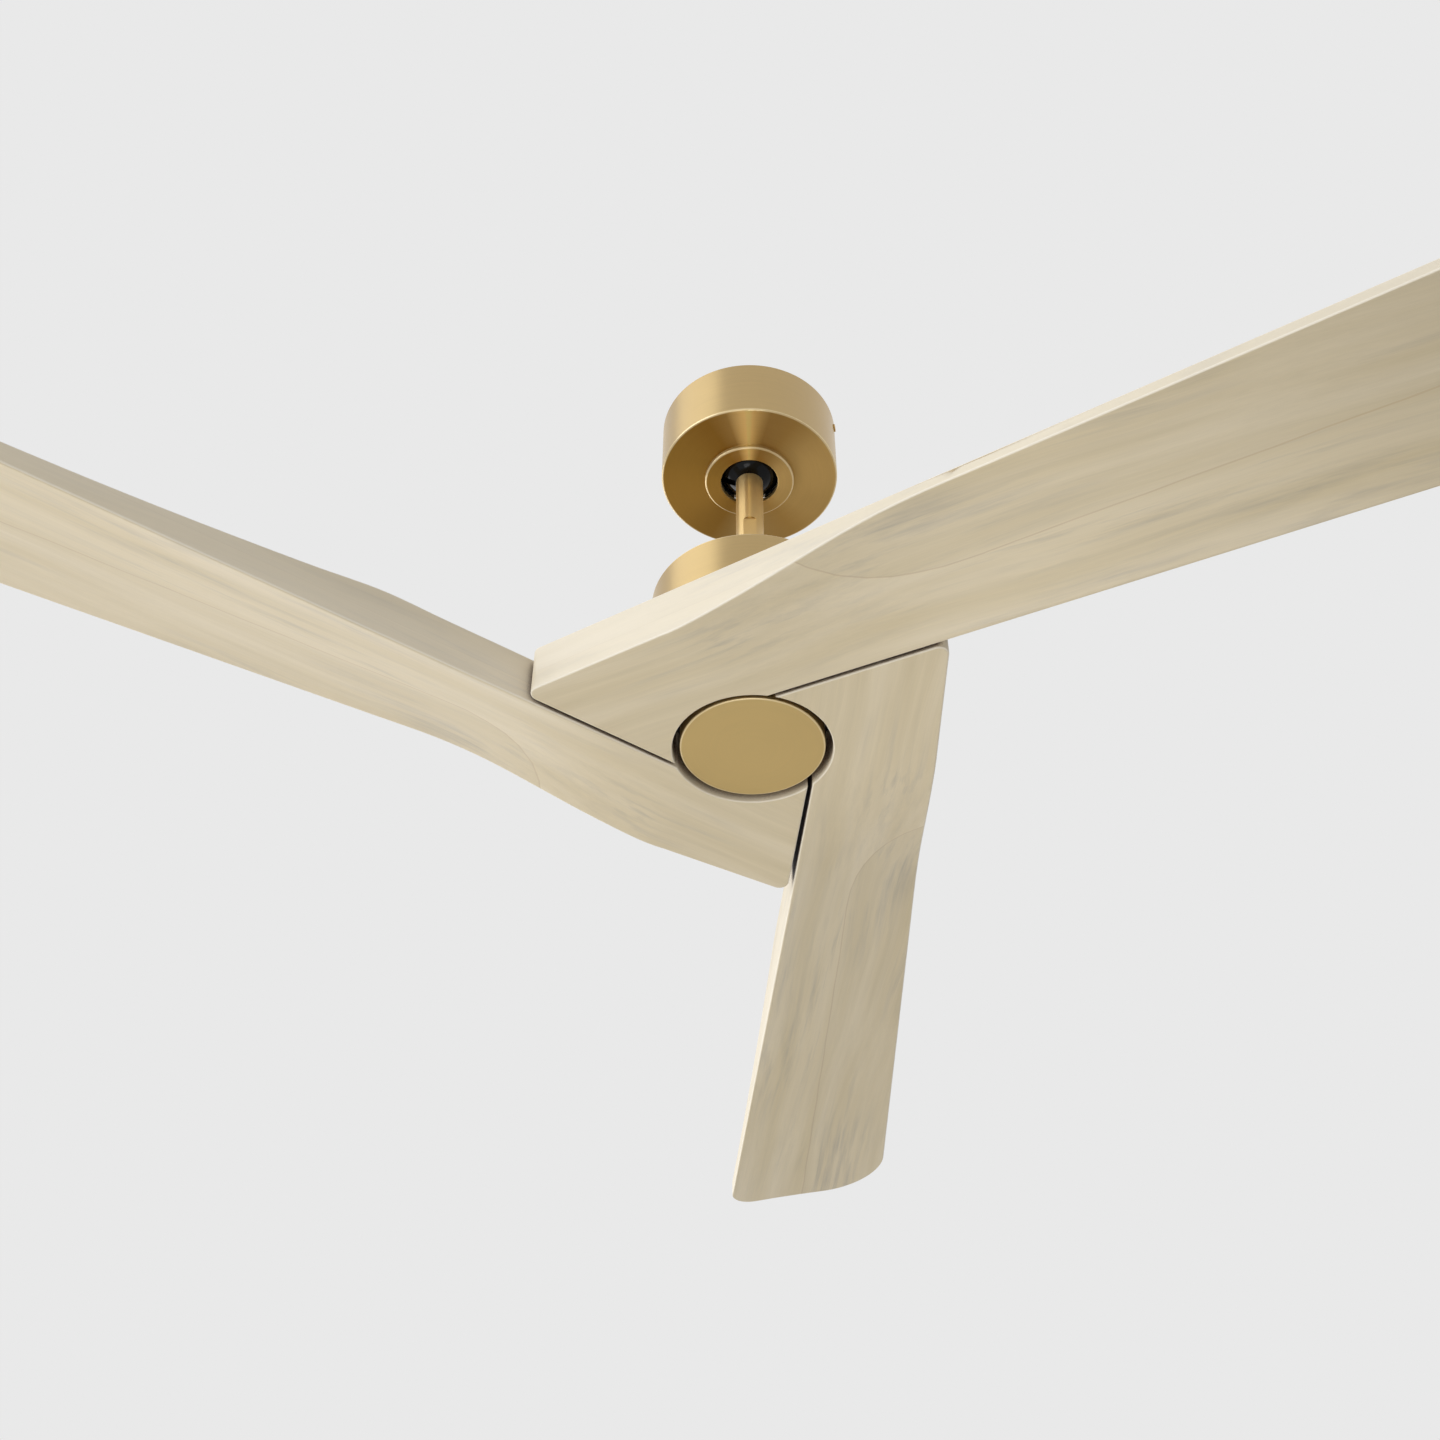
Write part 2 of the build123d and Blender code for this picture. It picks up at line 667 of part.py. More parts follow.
# ================================================================ standing motor parts
carrier_bottom_z = carrier_z - carrier_thickness
washer_bottom_z = carrier_bottom_z - washer_thickness
nut_bottom_z = washer_bottom_z - nut_height
with BuildPart() as motor_shaft:
    with BuildSketch(Plane.XY.offset(shaft_top_z)):
        Circle(shaft_radius)
        Circle(shaft_bore_radius, mode=Mode.SUBTRACT)
    extrude(amount=nut_bottom_z - shaft_end_reach - shaft_top_z)
finish(motor_shaft, "motor_shaft")


def shaft_ring(top, length, outer):
    """Ring that slides on the motor shaft, down from a level."""
    with BuildPart() as ring:
        with BuildSketch(Plane.XY.offset(top)):
            Circle(outer)
            Circle(shaft_radius + fit_gap, mode=Mode.SUBTRACT)
        extrude(amount=-length)
    return ring


finish(shaft_ring(coupling_bottom_z, upper_spacer_length, spacer_radius), "upper_spacer")
finish(shaft_ring(stator_top_z, stator_sleeve_length, spacer_radius), "stator_sleeve")
finish(shaft_ring(lower_boss_z, lower_spacer_length, spacer_radius), "lower_spacer")

# Stator: a toothed core on its sleeve, with a coil round each tooth.
tooth_root = stator_radius - tooth_shoe_depth
with BuildPart() as stator_core:
    with BuildSketch(Plane.XY.offset(stator_mid_z)):
        Circle(stator_yoke_radius)
        with PolarLocations(tooth_root / 2, tooth_count):
            Rectangle(tooth_root + fit_gap, tooth_width)
        with PolarLocations(0, tooth_count):
            add(sector(tooth_root, stator_radius, tooth_shoe_angle))
        Circle(spacer_radius + fit_gap, mode=Mode.SUBTRACT)
    extrude(amount=stator_height / 2, both=True)
finish(stator_core, "stator_core")

coil_length = coil_outer_radius - coil_inner_radius
coil_width = tooth_width + 2 * (coil_thickness + fit_gap)
with BuildPart() as stator_windings:
    for tooth in range(tooth_count):
        with BuildSketch(radial_plane(tooth * 360.0 / tooth_count, coil_inner_radius, stator_mid_z)):
            Rectangle(coil_height, coil_width)
            Rectangle(stator_height + 2 * fit_gap, tooth_width + 2 * fit_gap, mode=Mode.SUBTRACT)
        extrude(amount=coil_length)
finish(stator_windings, "stator_windings")

# ================================================================ bearings
ball_circle = (inner_race_radius + outer_race_radius) / 2
groove_radius = bearing_ball_radius + race_gap
for place, bearing_top in (("upper", upper_bearing_z), ("lower", lower_bearing_z)):
    groove_z = bearing_top - bearing_width / 2
    with BuildPart() as inner_race:
        with BuildSketch(Plane.XY.offset(bearing_top)):
            Circle(inner_race_radius)
            Circle(shaft_radius + fit_gap, mode=Mode.SUBTRACT)
        extrude(amount=-bearing_width)
        with Locations((0, 0, groove_z)):
            Torus(ball_circle, groove_radius, mode=Mode.SUBTRACT)
    finish(inner_race, f"{place}_inner_race")
    with BuildPart() as outer_race:
        with BuildSketch(Plane.XY.offset(bearing_top)):
            Circle(bearing_outer_radius)
            Circle(outer_race_radius, mode=Mode.SUBTRACT)
        extrude(amount=-bearing_width)
        with Locations((0, 0, groove_z)):
            Torus(ball_circle, groove_radius, mode=Mode.SUBTRACT)
    finish(outer_race, f"{place}_outer_race")
    with BuildPart() as bearing_balls:
        with Locations((0, 0, groove_z)):
            with PolarLocations(ball_circle, bearing_ball_count):
                Sphere(bearing_ball_radius)
    finish(bearing_balls, f"{place}_bearing_balls")

# ================================================================ turning motor parts
# The two rotor shells close round the stator. Each has a boss that holds a bearing, with a lip
# behind it, and the lower one has the ring that the hub plate is screwed to.
shell_bottom_z = shell_split_z - shell_plate
boss_radius = bearing_outer_radius + boss_wall
shell_screw_circle = (shell_inner_radius + shell_outer_radius) / 2
shell_screw_spots = PolarLocations(shell_screw_circle, shell_screw_count)
hub_screw_spots = PolarLocations(hub_screw_circle, hub_screw_count, 30)
with BuildPart() as upper_rotor_shell:
    with BuildSketch(Plane.XY.offset(shell_top_z)):
        Circle(shell_outer_radius)
    extrude(amount=shell_split_z - shell_top_z)
    with BuildSketch(Plane.XY.offset(upper_bearing_z)):
        Circle(shell_inner_radius)
    extrude(amount=shell_split_z - upper_bearing_z, mode=Mode.SUBTRACT)
    with BuildSketch(Plane.XY.offset(upper_bearing_z)):
        Circle(boss_radius)
    extrude(amount=-bearing_width)
    with BuildSketch(Plane.XY.offset(upper_bearing_z)):
        Circle(bearing_outer_radius + fit_gap)
    extrude(amount=-bearing_width, mode=Mode.SUBTRACT)
    with BuildSketch(Plane.XY.offset(upper_bearing_z)):
        Circle(shell_bore_radius)
    extrude(amount=2 * lip_thickness, mode=Mode.SUBTRACT)
    with BuildSketch(Plane.XY.offset(shell_split_z)):
        with shell_screw_spots:
            Circle(shell_screw_radius + fit_gap)
    extrude(amount=shell_screw_length, mode=Mode.SUBTRACT)
finish(upper_rotor_shell, "upper_rotor_shell")

with BuildPart() as lower_rotor_shell:
    with BuildSketch(Plane.XY.offset(shell_split_z)):
        Circle(shell_outer_radius)
    extrude(amount=-shell_plate)
    with BuildSketch(Plane.XY.offset(shell_split_z)):
        Circle(boss_radius)
    extrude(amount=lower_boss_z - lip_thickness - shell_split_z)
    with BuildSketch(Plane.XY.offset(blade_top_z)):
        Circle(mount_ring_outer_radius)
        Circle(mount_ring_inner_radius, mode=Mode.SUBTRACT)
    extrude(amount=shell_bottom_z - blade_top_z)
    with BuildSketch(Plane.XY.offset(lower_boss_z)):
        Circle(bearing_outer_radius + fit_gap)
    extrude(amount=2 * bearing_width, mode=Mode.SUBTRACT)
    with BuildSketch(Plane.XY.offset(lower_boss_z)):
        Circle(shell_bore_radius)
    extrude(amount=-2 * lip_thickness, mode=Mode.SUBTRACT)
    with BuildSketch(Plane.XY.offset(shell_split_z)):
        with shell_screw_spots:
            Circle(shell_screw_radius + slip_gap)
    extrude(amount=-2 * shell_plate, mode=Mode.SUBTRACT)
    with BuildSketch(Plane.XY.offset(blade_top_z)):
        with hub_screw_spots:
            Circle(hub_screw_radius + fit_gap)
    extrude(amount=hub_screw_length - hub_plate_thickness, mode=Mode.SUBTRACT)
finish(lower_rotor_shell, "lower_rotor_shell")

with BuildPart() as shell_screws:
    with BuildSketch(Plane.XY.offset(shell_bottom_z)):
        with shell_screw_spots:
            Circle(shell_screw_head_radius)
    extrude(amount=-shell_screw_head_height)
    with BuildSketch(Plane.XY.offset(shell_bottom_z)):
        with shell_screw_spots:
            Circle(shell_screw_radius)
    extrude(amount=shell_screw_length)
finish(shell_screws, "shell_screws")

with BuildPart() as rotor_magnets:
    with BuildSketch(Plane.XY.offset(stator_mid_z)):
        with PolarLocations(0, magnet_count):
            add(sector(magnet_inner_radius, shell_inner_radius, magnet_angle))
    extrude(amount=magnet_height / 2, both=True)
finish(rotor_magnets, "rotor_magnets")

# ================================================================ hub plate
# The hub plate lies flush in a recess that the three blade roots share.
blade_screw_spots = []
for blade_number in range(blade_count):
    for angle in blade_screw_angles:
        azimuth = radians(blade_azimuth - blade_number * blade_turn + angle)
        blade_screw_spots.append((blade_screw_circle * cos(azimuth), blade_screw_circle * sin(azimuth)))

with BuildPart() as hub_plate:
    with BuildSketch(Plane.XY.offset(blade_top_z)):
        Circle(hub_plate_radius)
        Circle(hub_plate_bore_radius, mode=Mode.SUBTRACT)
        with hub_screw_spots:
            Circle(hub_screw_radius + slip_gap, mode=Mode.SUBTRACT)
        with Locations(*blade_screw_spots):
            Circle(blade_screw_radius + slip_gap, mode=Mode.SUBTRACT)
    extrude(amount=-hub_plate_thickness)
finish(hub_plate, "hub_plate")

with BuildPart() as hub_screws:
    with BuildSketch(Plane.XY.offset(hub_plate_bottom_z)):
        with hub_screw_spots:
            Circle(hub_screw_head_radius)
    extrude(amount=-hub_screw_head_height)
    with BuildSketch(Plane.XY.offset(hub_plate_bottom_z)):
        with hub_screw_spots:
            Circle(hub_screw_radius)
    extrude(amount=hub_screw_length)
finish(hub_screws, "hub_screws")

with BuildPart() as isolation_gasket:
    with BuildSketch(Plane.XY.offset(hub_plate_bottom_z)):
        Circle(gasket_outer_radius)
        Circle(gasket_inner_radius, mode=Mode.SUBTRACT)
        with Locations(*blade_screw_spots):
            Circle(blade_screw_radius + slip_gap, mode=Mode.SUBTRACT)
    extrude(amount=-gasket_thickness)
finish(isolation_gasket, "isolation_gasket")

with BuildPart() as blade_inserts:
    with BuildSketch(Plane.XY.offset(gasket_bottom_z)):
        with Locations(*blade_screw_spots):
            Circle(insert_radius)
            Circle(blade_screw_radius + fit_gap, mode=Mode.SUBTRACT)
    extrude(amount=-insert_length)
finish(blade_inserts, "blade_inserts")

with BuildPart() as blade_screws:
    with BuildSketch(Plane.XY.offset(blade_top_z)):
        with Locations(*blade_screw_spots):
            Circle(blade_screw_head_radius)
    extrude(amount=blade_screw_head_height)
    with BuildSketch(Plane.XY.offset(blade_top_z)):
        with Locations(*blade_screw_spots):
            Circle(blade_screw_radius)
    extrude(amount=-blade_screw_length)
finish(blade_screws, "blade_screws")

# ================================================================ hub cap
# The carrier stands still on the end of the shaft. The cap's lugs pass its notches and rest on it.
cap_inner_radius = cap_radius - cap_wall
carrier_radius = cap_inner_radius - carrier_rim_gap
with BuildPart() as cap_carrier:
    with BuildSketch(Plane.XY.offset(carrier_z)):
        Circle(carrier_radius)
        Circle(shaft_radius + fit_gap, mode=Mode.SUBTRACT)
        with PolarLocations(0, cap_lug_count, cap_lug_turn):
            add(sector(cap_inner_radius - cap_lug_reach - slip_gap, cap_radius, cap_notch_angle), mode=Mode.SUBTRACT)
    extrude(amount=-carrier_thickness)
finish(cap_carrier, "cap_carrier")
finish(shaft_ring(carrier_bottom_z, washer_thickness, washer_radius), "lock_washer")

with BuildPart() as shaft_nut:
    with BuildSketch(Plane.XY.offset(washer_bottom_z)):
        RegularPolygon(nut_across_flats / 2, 6, major_radius=False)
        Circle(shaft_radius + fit_gap, mode=Mode.SUBTRACT)
    extrude(amount=-nut_height)
finish(shaft_nut, "shaft_nut")

with BuildPart() as hub_cap:
    with BuildSketch(Plane.XY.offset(cap_bottom_z)):
        Circle(cap_radius)
    extrude(amount=carrier_z + cap_lug_thickness - cap_bottom_z)
    fillet(hub_cap.edges().group_by(Axis.Z)[0], radius=cap_edge_round)
    with BuildSketch(Plane.XY.offset(cap_bottom_z + cap_wall)):
        Circle(cap_inner_radius)
    extrude(amount=blade_thickness, mode=Mode.SUBTRACT)
    with BuildSketch(Plane.XY.offset(carrier_z)):
        with PolarLocations(0, cap_lug_count):
            add(sector(cap_inner_radius - cap_lug_reach, cap_radius - cap_wall / 2, cap_lug_angle))
    extrude(amount=cap_lug_thickness)
finish(hub_cap, "hub_cap")


# ================================================================ blades
# Blade sections stand square to the straight leading edge. A station is the X at which a section
# meets that edge. In a section, X is the distance in from the leading edge and Y is the height.
along_lead = Vector(cos(radians(outer_edge_splay)), -sin(radians(outer_edge_splay)))
across_lead = Vector(sin(radians(outer_edge_splay)), cos(radians(outer_edge_splay)))


def inner_edge(station):
    """Distance of the inner, trailing edge from the blade's axis."""
    return inner_edge_offset + station * tan(radians(inner_edge_splay))


def outer_edge(station):
    """Distance of the outer, leading edge from the blade's axis."""
    return outer_edge_offset + station * tan(radians(outer_edge_splay))


def chord(station):
    """Width of the section at a station, from the leading to the trailing edge."""
    return (outer_edge(station) - inner_edge(station)) / (
        across_lead.Y + across_lead.X * tan(radians(inner_edge_splay)))


def ease(share):
    """Smooth step from 0 to 1."""
    share = min(max(share, 0.0), 1.0)
    return share * share * (3 - 2 * share)


def blade_section(station):
    """Closed, round-cornered outline of the blade at a station."""
    width = chord(station)
    carve = ease((station - carve_start) / (carve_end - carve_start))
    taper = (station + width * across_lead.X - taper_start) / taper_length
    taper = min(max(taper, 0.0), 1.0)
    lead = leading_edge_rise * carve
    trail = blade_thickness - trailing_edge_drop * taper * (2 - taper)
    hollow = lead / 2 + underside_camber * carve
    crown = (blade_thickness + trail) / 2 + topside_crown * ease(taper)
    top = blade_thickness
    r = blade_edge_round
    nip = r * (1 - sqrt(0.5))
    Spline((width - r, 0), (width / 2, hollow), (r, lead))
    ThreePointArc((r, lead), (nip, lead + nip), (0, lead + r))
    Line((0, lead + r), (0, top - r))
    ThreePointArc((0, top - r), (nip, top - nip), (r, top))
    Spline((r, top), (width / 2, crown), (width - r, trail))
    ThreePointArc((width - r, trail), (width - nip, trail - nip), (width, trail - r))
    Line((width, trail - r), (width, r))
    ThreePointArc((width, r), (width - nip, nip), (width - r, 0))


# Root block: flat on both sides. Its end runs along the next blade's inner edge, one joint gap
# away.
end_line = inner_edge_offset - root_joint_gap
across_next = Vector(-cos(radians(30)), sin(radians(30)))
corner_station = -(end_line + outer_edge_offset * sin(radians(30))) / (
    cos(radians(30)) + tan(radians(outer_edge_splay)) * sin(radians(30)))
root_corner = Vector(corner_station, -outer_edge(corner_station))
carve_corner = Vector(carve_start, -outer_edge(carve_start))
carve_inner = carve_corner + across_lead * chord(carve_start)
end_foot = across_next * end_line
with BuildPart() as blade_root:
    with BuildSketch() as root_outline:
        with BuildLine():
            Polyline(carve_inner, carve_corner, root_corner, end_foot, (0, 0), close=True)
        make_face()
        fillet(root_outline.vertices().sort_by(Axis.X)[0], radius=root_corner_radius)
    extrude(amount=blade_thickness)
    rims = blade_root.edges().filter_by(lambda edge: abs(edge.tangent_at(0.5).Z) < 0.5)
    rims = rims.filter_by(lambda edge: (edge.center() - carve_corner).dot(along_lead) < -0.01)
    rims = rims.filter_by(lambda edge: Vector(edge.center().X, edge.center().Y).length > hub_opening_radius)
    fillet(rims, radius=blade_edge_round)

# Plan outline of the blade's tip, with its two corners rounded.
tip_base = blade_tip_radius - 2 * tip_leading_radius
with BuildSketch() as tip_outline:
    with BuildLine():
        Polyline(
            (tip_base, -inner_edge(tip_base)),
            (tip_base, -outer_edge(tip_base)),
            (blade_tip_radius, -outer_edge(blade_tip_radius)),
            (blade_tip_radius, -inner_edge(blade_tip_radius)),
            close=True,
        )
    make_face()
    fillet(tip_outline.vertices().group_by(Axis.X)[-1].sort_by(Axis.Y)[0], radius=tip_leading_radius)
    fillet(tip_outline.vertices().group_by(Axis.X)[-1].sort_by(Axis.Y)[-1], radius=tip_trailing_radius)

# Carved length of the blade: the underside climbs from the root to the leading edge, and the
# top falls away towards the trailing edge.
station_pitch = (blade_tip_radius + tip_trim - carve_start) / (station_count - 1)
with BuildPart() as blade_length:
    for station_number in range(station_count):
        station = carve_start + station_number * station_pitch
        section_origin = Vector(station, -outer_edge(station))
        with BuildSketch(Plane(origin=section_origin, x_dir=across_lead, z_dir=along_lead)):
            with BuildLine():
                blade_section(station)
            make_face()
    loft()
    # tip cut to its outline
    with BuildSketch():
        with Locations((tip_base, -outer_edge(blade_tip_radius) / 2)):
            Rectangle(4 * tip_leading_radius, 2 * outer_edge(blade_tip_radius), align=(Align.MIN, Align.CENTER))
        add(tip_outline.sketch, mode=Mode.SUBTRACT)
    extrude(amount=2 * blade_thickness, both=True, mode=Mode.SUBTRACT)
with BuildPart() as blade_blank:
    add(blade_root)
    add(blade_length)
    # round opening for the cap, with its lower rim flared
    flare_centre = Vector(hub_opening_radius + blade_edge_round, blade_edge_round * cos(radians(flare_angle)))
    flare_reach = Vector(sin(radians(flare_angle / 2)), cos(radians(flare_angle / 2))) * blade_edge_round
    flare_end = flare_centre - flare_reach
    with BuildSketch(Plane.XZ):
        with BuildLine():
            Line((hub_opening_radius, 2 * blade_thickness), (hub_opening_radius, flare_centre.Y))
            RadiusArc((hub_opening_radius, flare_centre.Y), flare_end, -blade_edge_round)
            Polyline(
                flare_end,
                (flare_end.X, -blade_thickness),
                (0, -blade_thickness),
                (0, 2 * blade_thickness),
                (hub_opening_radius, 2 * blade_thickness),
            )
        make_face()
    revolve(axis=Axis.Z, mode=Mode.SUBTRACT)
    # recess for the hub plate and its gasket
    with BuildSketch(Plane.XY.offset(blade_thickness - hub_plate_thickness - gasket_thickness)):
        Circle(hub_plate_radius + hub_plate_edge_gap)
    extrude(amount=blade_thickness, mode=Mode.SUBTRACT)
    # blind holes for the threaded inserts
    with BuildSketch(Plane.XY.offset(blade_thickness - hub_plate_thickness - gasket_thickness)):
        for angle in blade_screw_angles:
            with PolarLocations(blade_screw_circle, 1, angle):
                Circle(insert_radius + fit_gap)
    extrude(amount=-insert_length - insert_hole_extra, mode=Mode.SUBTRACT)

for blade_number in range(blade_count):
    turn = blade_azimuth - blade_number * blade_turn
    with BuildPart() as blade:
        with Locations(Location((0, 0, blade_bottom_z), (0, 0, turn))):
            add(blade_blank.part)
    finish(blade, f"blade_{blade_number + 1}")
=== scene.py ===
import json
import math

import bmesh
import bpy
from mathutils import Matrix, Vector


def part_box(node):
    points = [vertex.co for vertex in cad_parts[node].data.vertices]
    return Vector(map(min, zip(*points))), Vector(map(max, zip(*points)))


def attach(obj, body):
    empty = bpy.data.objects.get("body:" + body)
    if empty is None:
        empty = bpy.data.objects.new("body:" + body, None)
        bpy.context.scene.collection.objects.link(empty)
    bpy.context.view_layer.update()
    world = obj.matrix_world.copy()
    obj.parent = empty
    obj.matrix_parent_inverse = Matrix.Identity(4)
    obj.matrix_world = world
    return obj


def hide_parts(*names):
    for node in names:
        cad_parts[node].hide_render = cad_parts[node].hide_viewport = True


bl_info = {
    "name": "Carved-blade ceiling fan",
    "version": (1, 0, 0),
    "blender": (4, 5, 0),
    "location": "3D View > Sidebar > Ceiling Fan",
    "description": "Finishes, screws, studio and camera of a fan with carved wooden blades",
    "category": "Object",
}

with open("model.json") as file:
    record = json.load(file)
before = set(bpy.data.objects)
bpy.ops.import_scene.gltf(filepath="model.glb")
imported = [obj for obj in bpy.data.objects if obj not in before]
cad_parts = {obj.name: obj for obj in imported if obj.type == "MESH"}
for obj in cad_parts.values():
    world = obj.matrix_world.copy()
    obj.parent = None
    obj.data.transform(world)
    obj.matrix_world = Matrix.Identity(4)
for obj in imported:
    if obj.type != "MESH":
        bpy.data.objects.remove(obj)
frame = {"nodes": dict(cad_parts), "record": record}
NODES = frame["nodes"]
BODY_OF = {node: body for body, nodes in frame["record"]["behaviour"]["bodies"].items()
           for node in nodes}
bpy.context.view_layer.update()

# Heights read from the frame, in metres: the fan hangs down from the ceiling.
BLADE_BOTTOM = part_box("blade_1")[0][2]
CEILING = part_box("mounting_bracket")[1][2]
MM = 0.001
AXIS_UP, AXIS_DOWN = Vector((0.0, 0.0, 1.0)), Vector((0.0, 0.0, -1.0))

BLADE_NAMES = ("blade_1", "blade_2", "blade_3")
BLADE_TURN = math.radians(120.0)

# Wood: where the painted outer shade starts and is full along a blade, and the glue line's half
# height,
# 0.2 mm of glue drawn 0.3 mm high so that it shows.
OUTER_SHADE_START, OUTER_SHADE_END = 0.30, 0.56
GLUE_HALF_HEIGHT, GLUE_SHARE = 0.15 * MM, 0.24
# share of the painted highlight on the roundings between faces and sides
EDGE_HIGHLIGHT_SHARE = 0.6
# painted shade in the joints: how far off a neighbour darkens a point, and the brown and the dark
# it goes to
JOINT_SHADE_REACH = 14.0 * MM
JOINT_SHADE_BROWN, JOINT_SHADE_DARK = "#6E3E1A", "#1E0E06"

# Brass: a rim's middle lies this far inside the drum's outline, and its worn and painted bright
# edge is this wide.
RIM_INSET, RIM_WIDTH = 0.6 * MM, 1.4 * MM
# the rims' colour is partly worn brass and partly a painted highlight
RIM_HIGHLIGHT_BRASS, RIM_SHARE = "#F8E4B6", 0.68
# painted highlight: the pale spoke painted on the front of an underside, and its share
SPOKE_HIGHLIGHT, SPOKE_HIGHLIGHT_SHARE = "#F6DDA0", 0.95
# painted light: how much brighter the spoke and an underside's right side are painted
PAINTED_LIGHT_LIFT = 1.22

# Screws: how far the cutter stands out of a head as a share of the recess's depth, how much
# narrower the recess is at its floor, and the angle above which an edge stays sharp. Vertices
# nearer than WELD are one, heights nearer than LEVEL are the same, and a head's rim lies beyond
# this share of its radius.
RECESS_STANDOUT, RECESS_TAPER = 0.3, 0.7
HEAD_SHARP_ANGLE = math.radians(32.0)
HEAD_ROUND_SEGMENTS = 4
WELD, LEVEL = 0.001 * MM, 0.01 * MM
HEAD_RIM_SHARE = 0.98

# Studio: the floor fades out between these distances, the ceiling patch has its radius as a share
# of the canopy's width and stands this far above it, the room's windows lie on this side, and
# each light has its place from the middle of the fan, and its width and height, in metres.
FLOOR_FADE, FLOOR_END, FLOOR_SIDES = 3.0, 9.0, 96
PATCH_SHARE, PATCH_GAP, PATCH_SIDES = 0.49, 0.5 * MM, 64
WINDOW_SIDE = (-0.94, -0.34, 0.0)
KEY_PLACE, KEY_SIZE = Vector((-2.8, -1.7, 0.7)), (3.2, 2.8)
BACK_PLACE, BACK_SIZE = Vector((-2.0, 2.3, -0.7)), (2.4, 1.2)
LOW_PLACE, LOW_SIZE = Vector((-0.2, -0.8, -2.05)), (0.7, 1.2)
SENSOR_WIDTH, VIEW_END = 36.0, 60.0


def srgb(code):
    """Linear red, green and blue of an sRGB hex value such as "#C8A05A"."""
    channels = [int(code[i:i + 2], 16) / 255 for i in (1, 3, 5)]
    return tuple(c / 12.92 if c <= 0.04045 else ((c + 0.055) / 1.055) ** 2.4 for c in channels)


def rgba(colour):
    """Colour with a full alpha, for a shader socket."""
    return (colour[0], colour[1], colour[2], 1.0)


# ---------------------------------------------------------------- sizes and colours


class FanCameraSettings(bpy.types.PropertyGroup):
    """Where the camera stands, and how it looks up at the fan."""

    drop: bpy.props.FloatProperty(
        name="Below ceiling", description="How far the camera is below the ceiling",
        default=1.3190, min=0.0, unit="LENGTH")
    distance: bpy.props.FloatProperty(
        name="Distance", description="How far the camera stands in front of the fan's axis",
        default=1.0578, min=0.0, unit="LENGTH")
    pitch: bpy.props.FloatProperty(
        name="Pitch", description="How far the camera looks up from level",
        default=math.radians(42.191), unit="ROTATION")
    heading: bpy.props.FloatProperty(
        name="Heading", description="How far the camera is turned to the left",
        default=math.radians(1.401), unit="ROTATION")
    roll: bpy.props.FloatProperty(
        name="Roll", description="How far the camera leans",
        default=math.radians(-0.252), unit="ROTATION")
    lens: bpy.props.FloatProperty(
        name="Lens", description="Focal length on a sensor 36 mm wide",
        default=44.552, min=1.0, unit="CAMERA")


class FanWoodSettings(bpy.types.PropertyGroup):
    """Colours and build of the laminated blades."""

    light: bpy.props.FloatVectorProperty(
        name="Light wood", description="Pale early wood, bleached and oiled",
        subtype="COLOR", size=3, default=srgb("#E3D3B4"), min=0.0, max=1.0)
    dark: bpy.props.FloatVectorProperty(
        name="Dark wood", description="Warmer late wood",
        subtype="COLOR", size=3, default=srgb("#D6C49F"), min=0.0, max=1.0)
    streak: bpy.props.FloatVectorProperty(
        name="Mineral streak", description="Blue-grey streaks along the grain",
        subtype="COLOR", size=3, default=srgb("#96918A"), min=0.0, max=1.0)
    glue: bpy.props.FloatVectorProperty(
        name="Glue", description="Tan glue between the boards",
        subtype="COLOR", size=3, default=srgb("#A8835C"), min=0.0, max=1.0)
    # painted light and highlight: the sides are painted towards this pale colour, and the roundings
    # close to it
    painted_sheen: bpy.props.FloatVectorProperty(
        name="Painted sheen", description="Edges and sides that took less oil",
        subtype="COLOR", size=3, default=srgb("#F6EDDC"), min=0.0, max=1.0)
    streak_depth: bpy.props.FloatProperty(
        name="Streak depth", description="How strongly the mineral streaks show",
        default=0.6, min=0.0, max=1.0, subtype="FACTOR")
    # painted shade on the first blade's outer end
    outer_painted_shade: bpy.props.FloatProperty(
        name="Outer painted shade", description="How much darker the first blade is towards its outer end",
        default=0.17, min=0.0, max=1.0, subtype="FACTOR")
    # painted light: how far the sides are painted towards the pale sheen
    side_paleness: bpy.props.FloatProperty(
        name="Side paleness", description="How much paler the sides are than the faces",
        default=0.38, min=0.0, max=1.0, subtype="FACTOR")
    first_azimuth: bpy.props.FloatProperty(
        name="First blade", description="Direction of the first blade, from the X axis",
        default=math.radians(-23.55), unit="ROTATION")
    joint: bpy.props.FloatProperty(
        name="Glue line", description="Height of the glue line above the underside of the blades",
        default=18.5 * MM, min=0.0, unit="LENGTH")


class FanMetalSettings(bpy.types.PropertyGroup):
    """Colours of the metals and plastics."""

    brass: bpy.props.FloatVectorProperty(
        name="Brass", description="Brushed and lacquered brass of the drums",
        subtype="COLOR", size=3, default=srgb("#C6A972"), min=0.0, max=1.0)
    # painted shade: faces that look down are painted this darker gold in place of the dark room
    # they reflect
    brass_shaded_underside: bpy.props.FloatVectorProperty(
        name="Brass, underside", description="Deeper gold of the faces that look down",
        subtype="COLOR", size=3, default=srgb("#9E752E"), min=0.0, max=1.0)
    brass_rod: bpy.props.FloatVectorProperty(
        name="Brass, rod", description="Brighter drawn brass of the rod",
        subtype="COLOR", size=3, default=srgb("#E1C082"), min=0.0, max=1.0)
    brass_cap: bpy.props.FloatVectorProperty(
        name="Brass, hub cap", description="Satin brass of the hub cap",
        subtype="COLOR", size=3, default=srgb("#D6B87A"), min=0.0, max=1.0)
    steel: bpy.props.FloatVectorProperty(
        name="Zinc plated steel", description="Sheet steel, screws and pins",
        subtype="COLOR", size=3, default=srgb("#C2C4C6"), min=0.0, max=1.0)
    ball: bpy.props.FloatVectorProperty(
        name="Ball", description="Black moulding of the hanger ball",
        subtype="COLOR", size=3, default=srgb("#050506"), min=0.0, max=1.0)


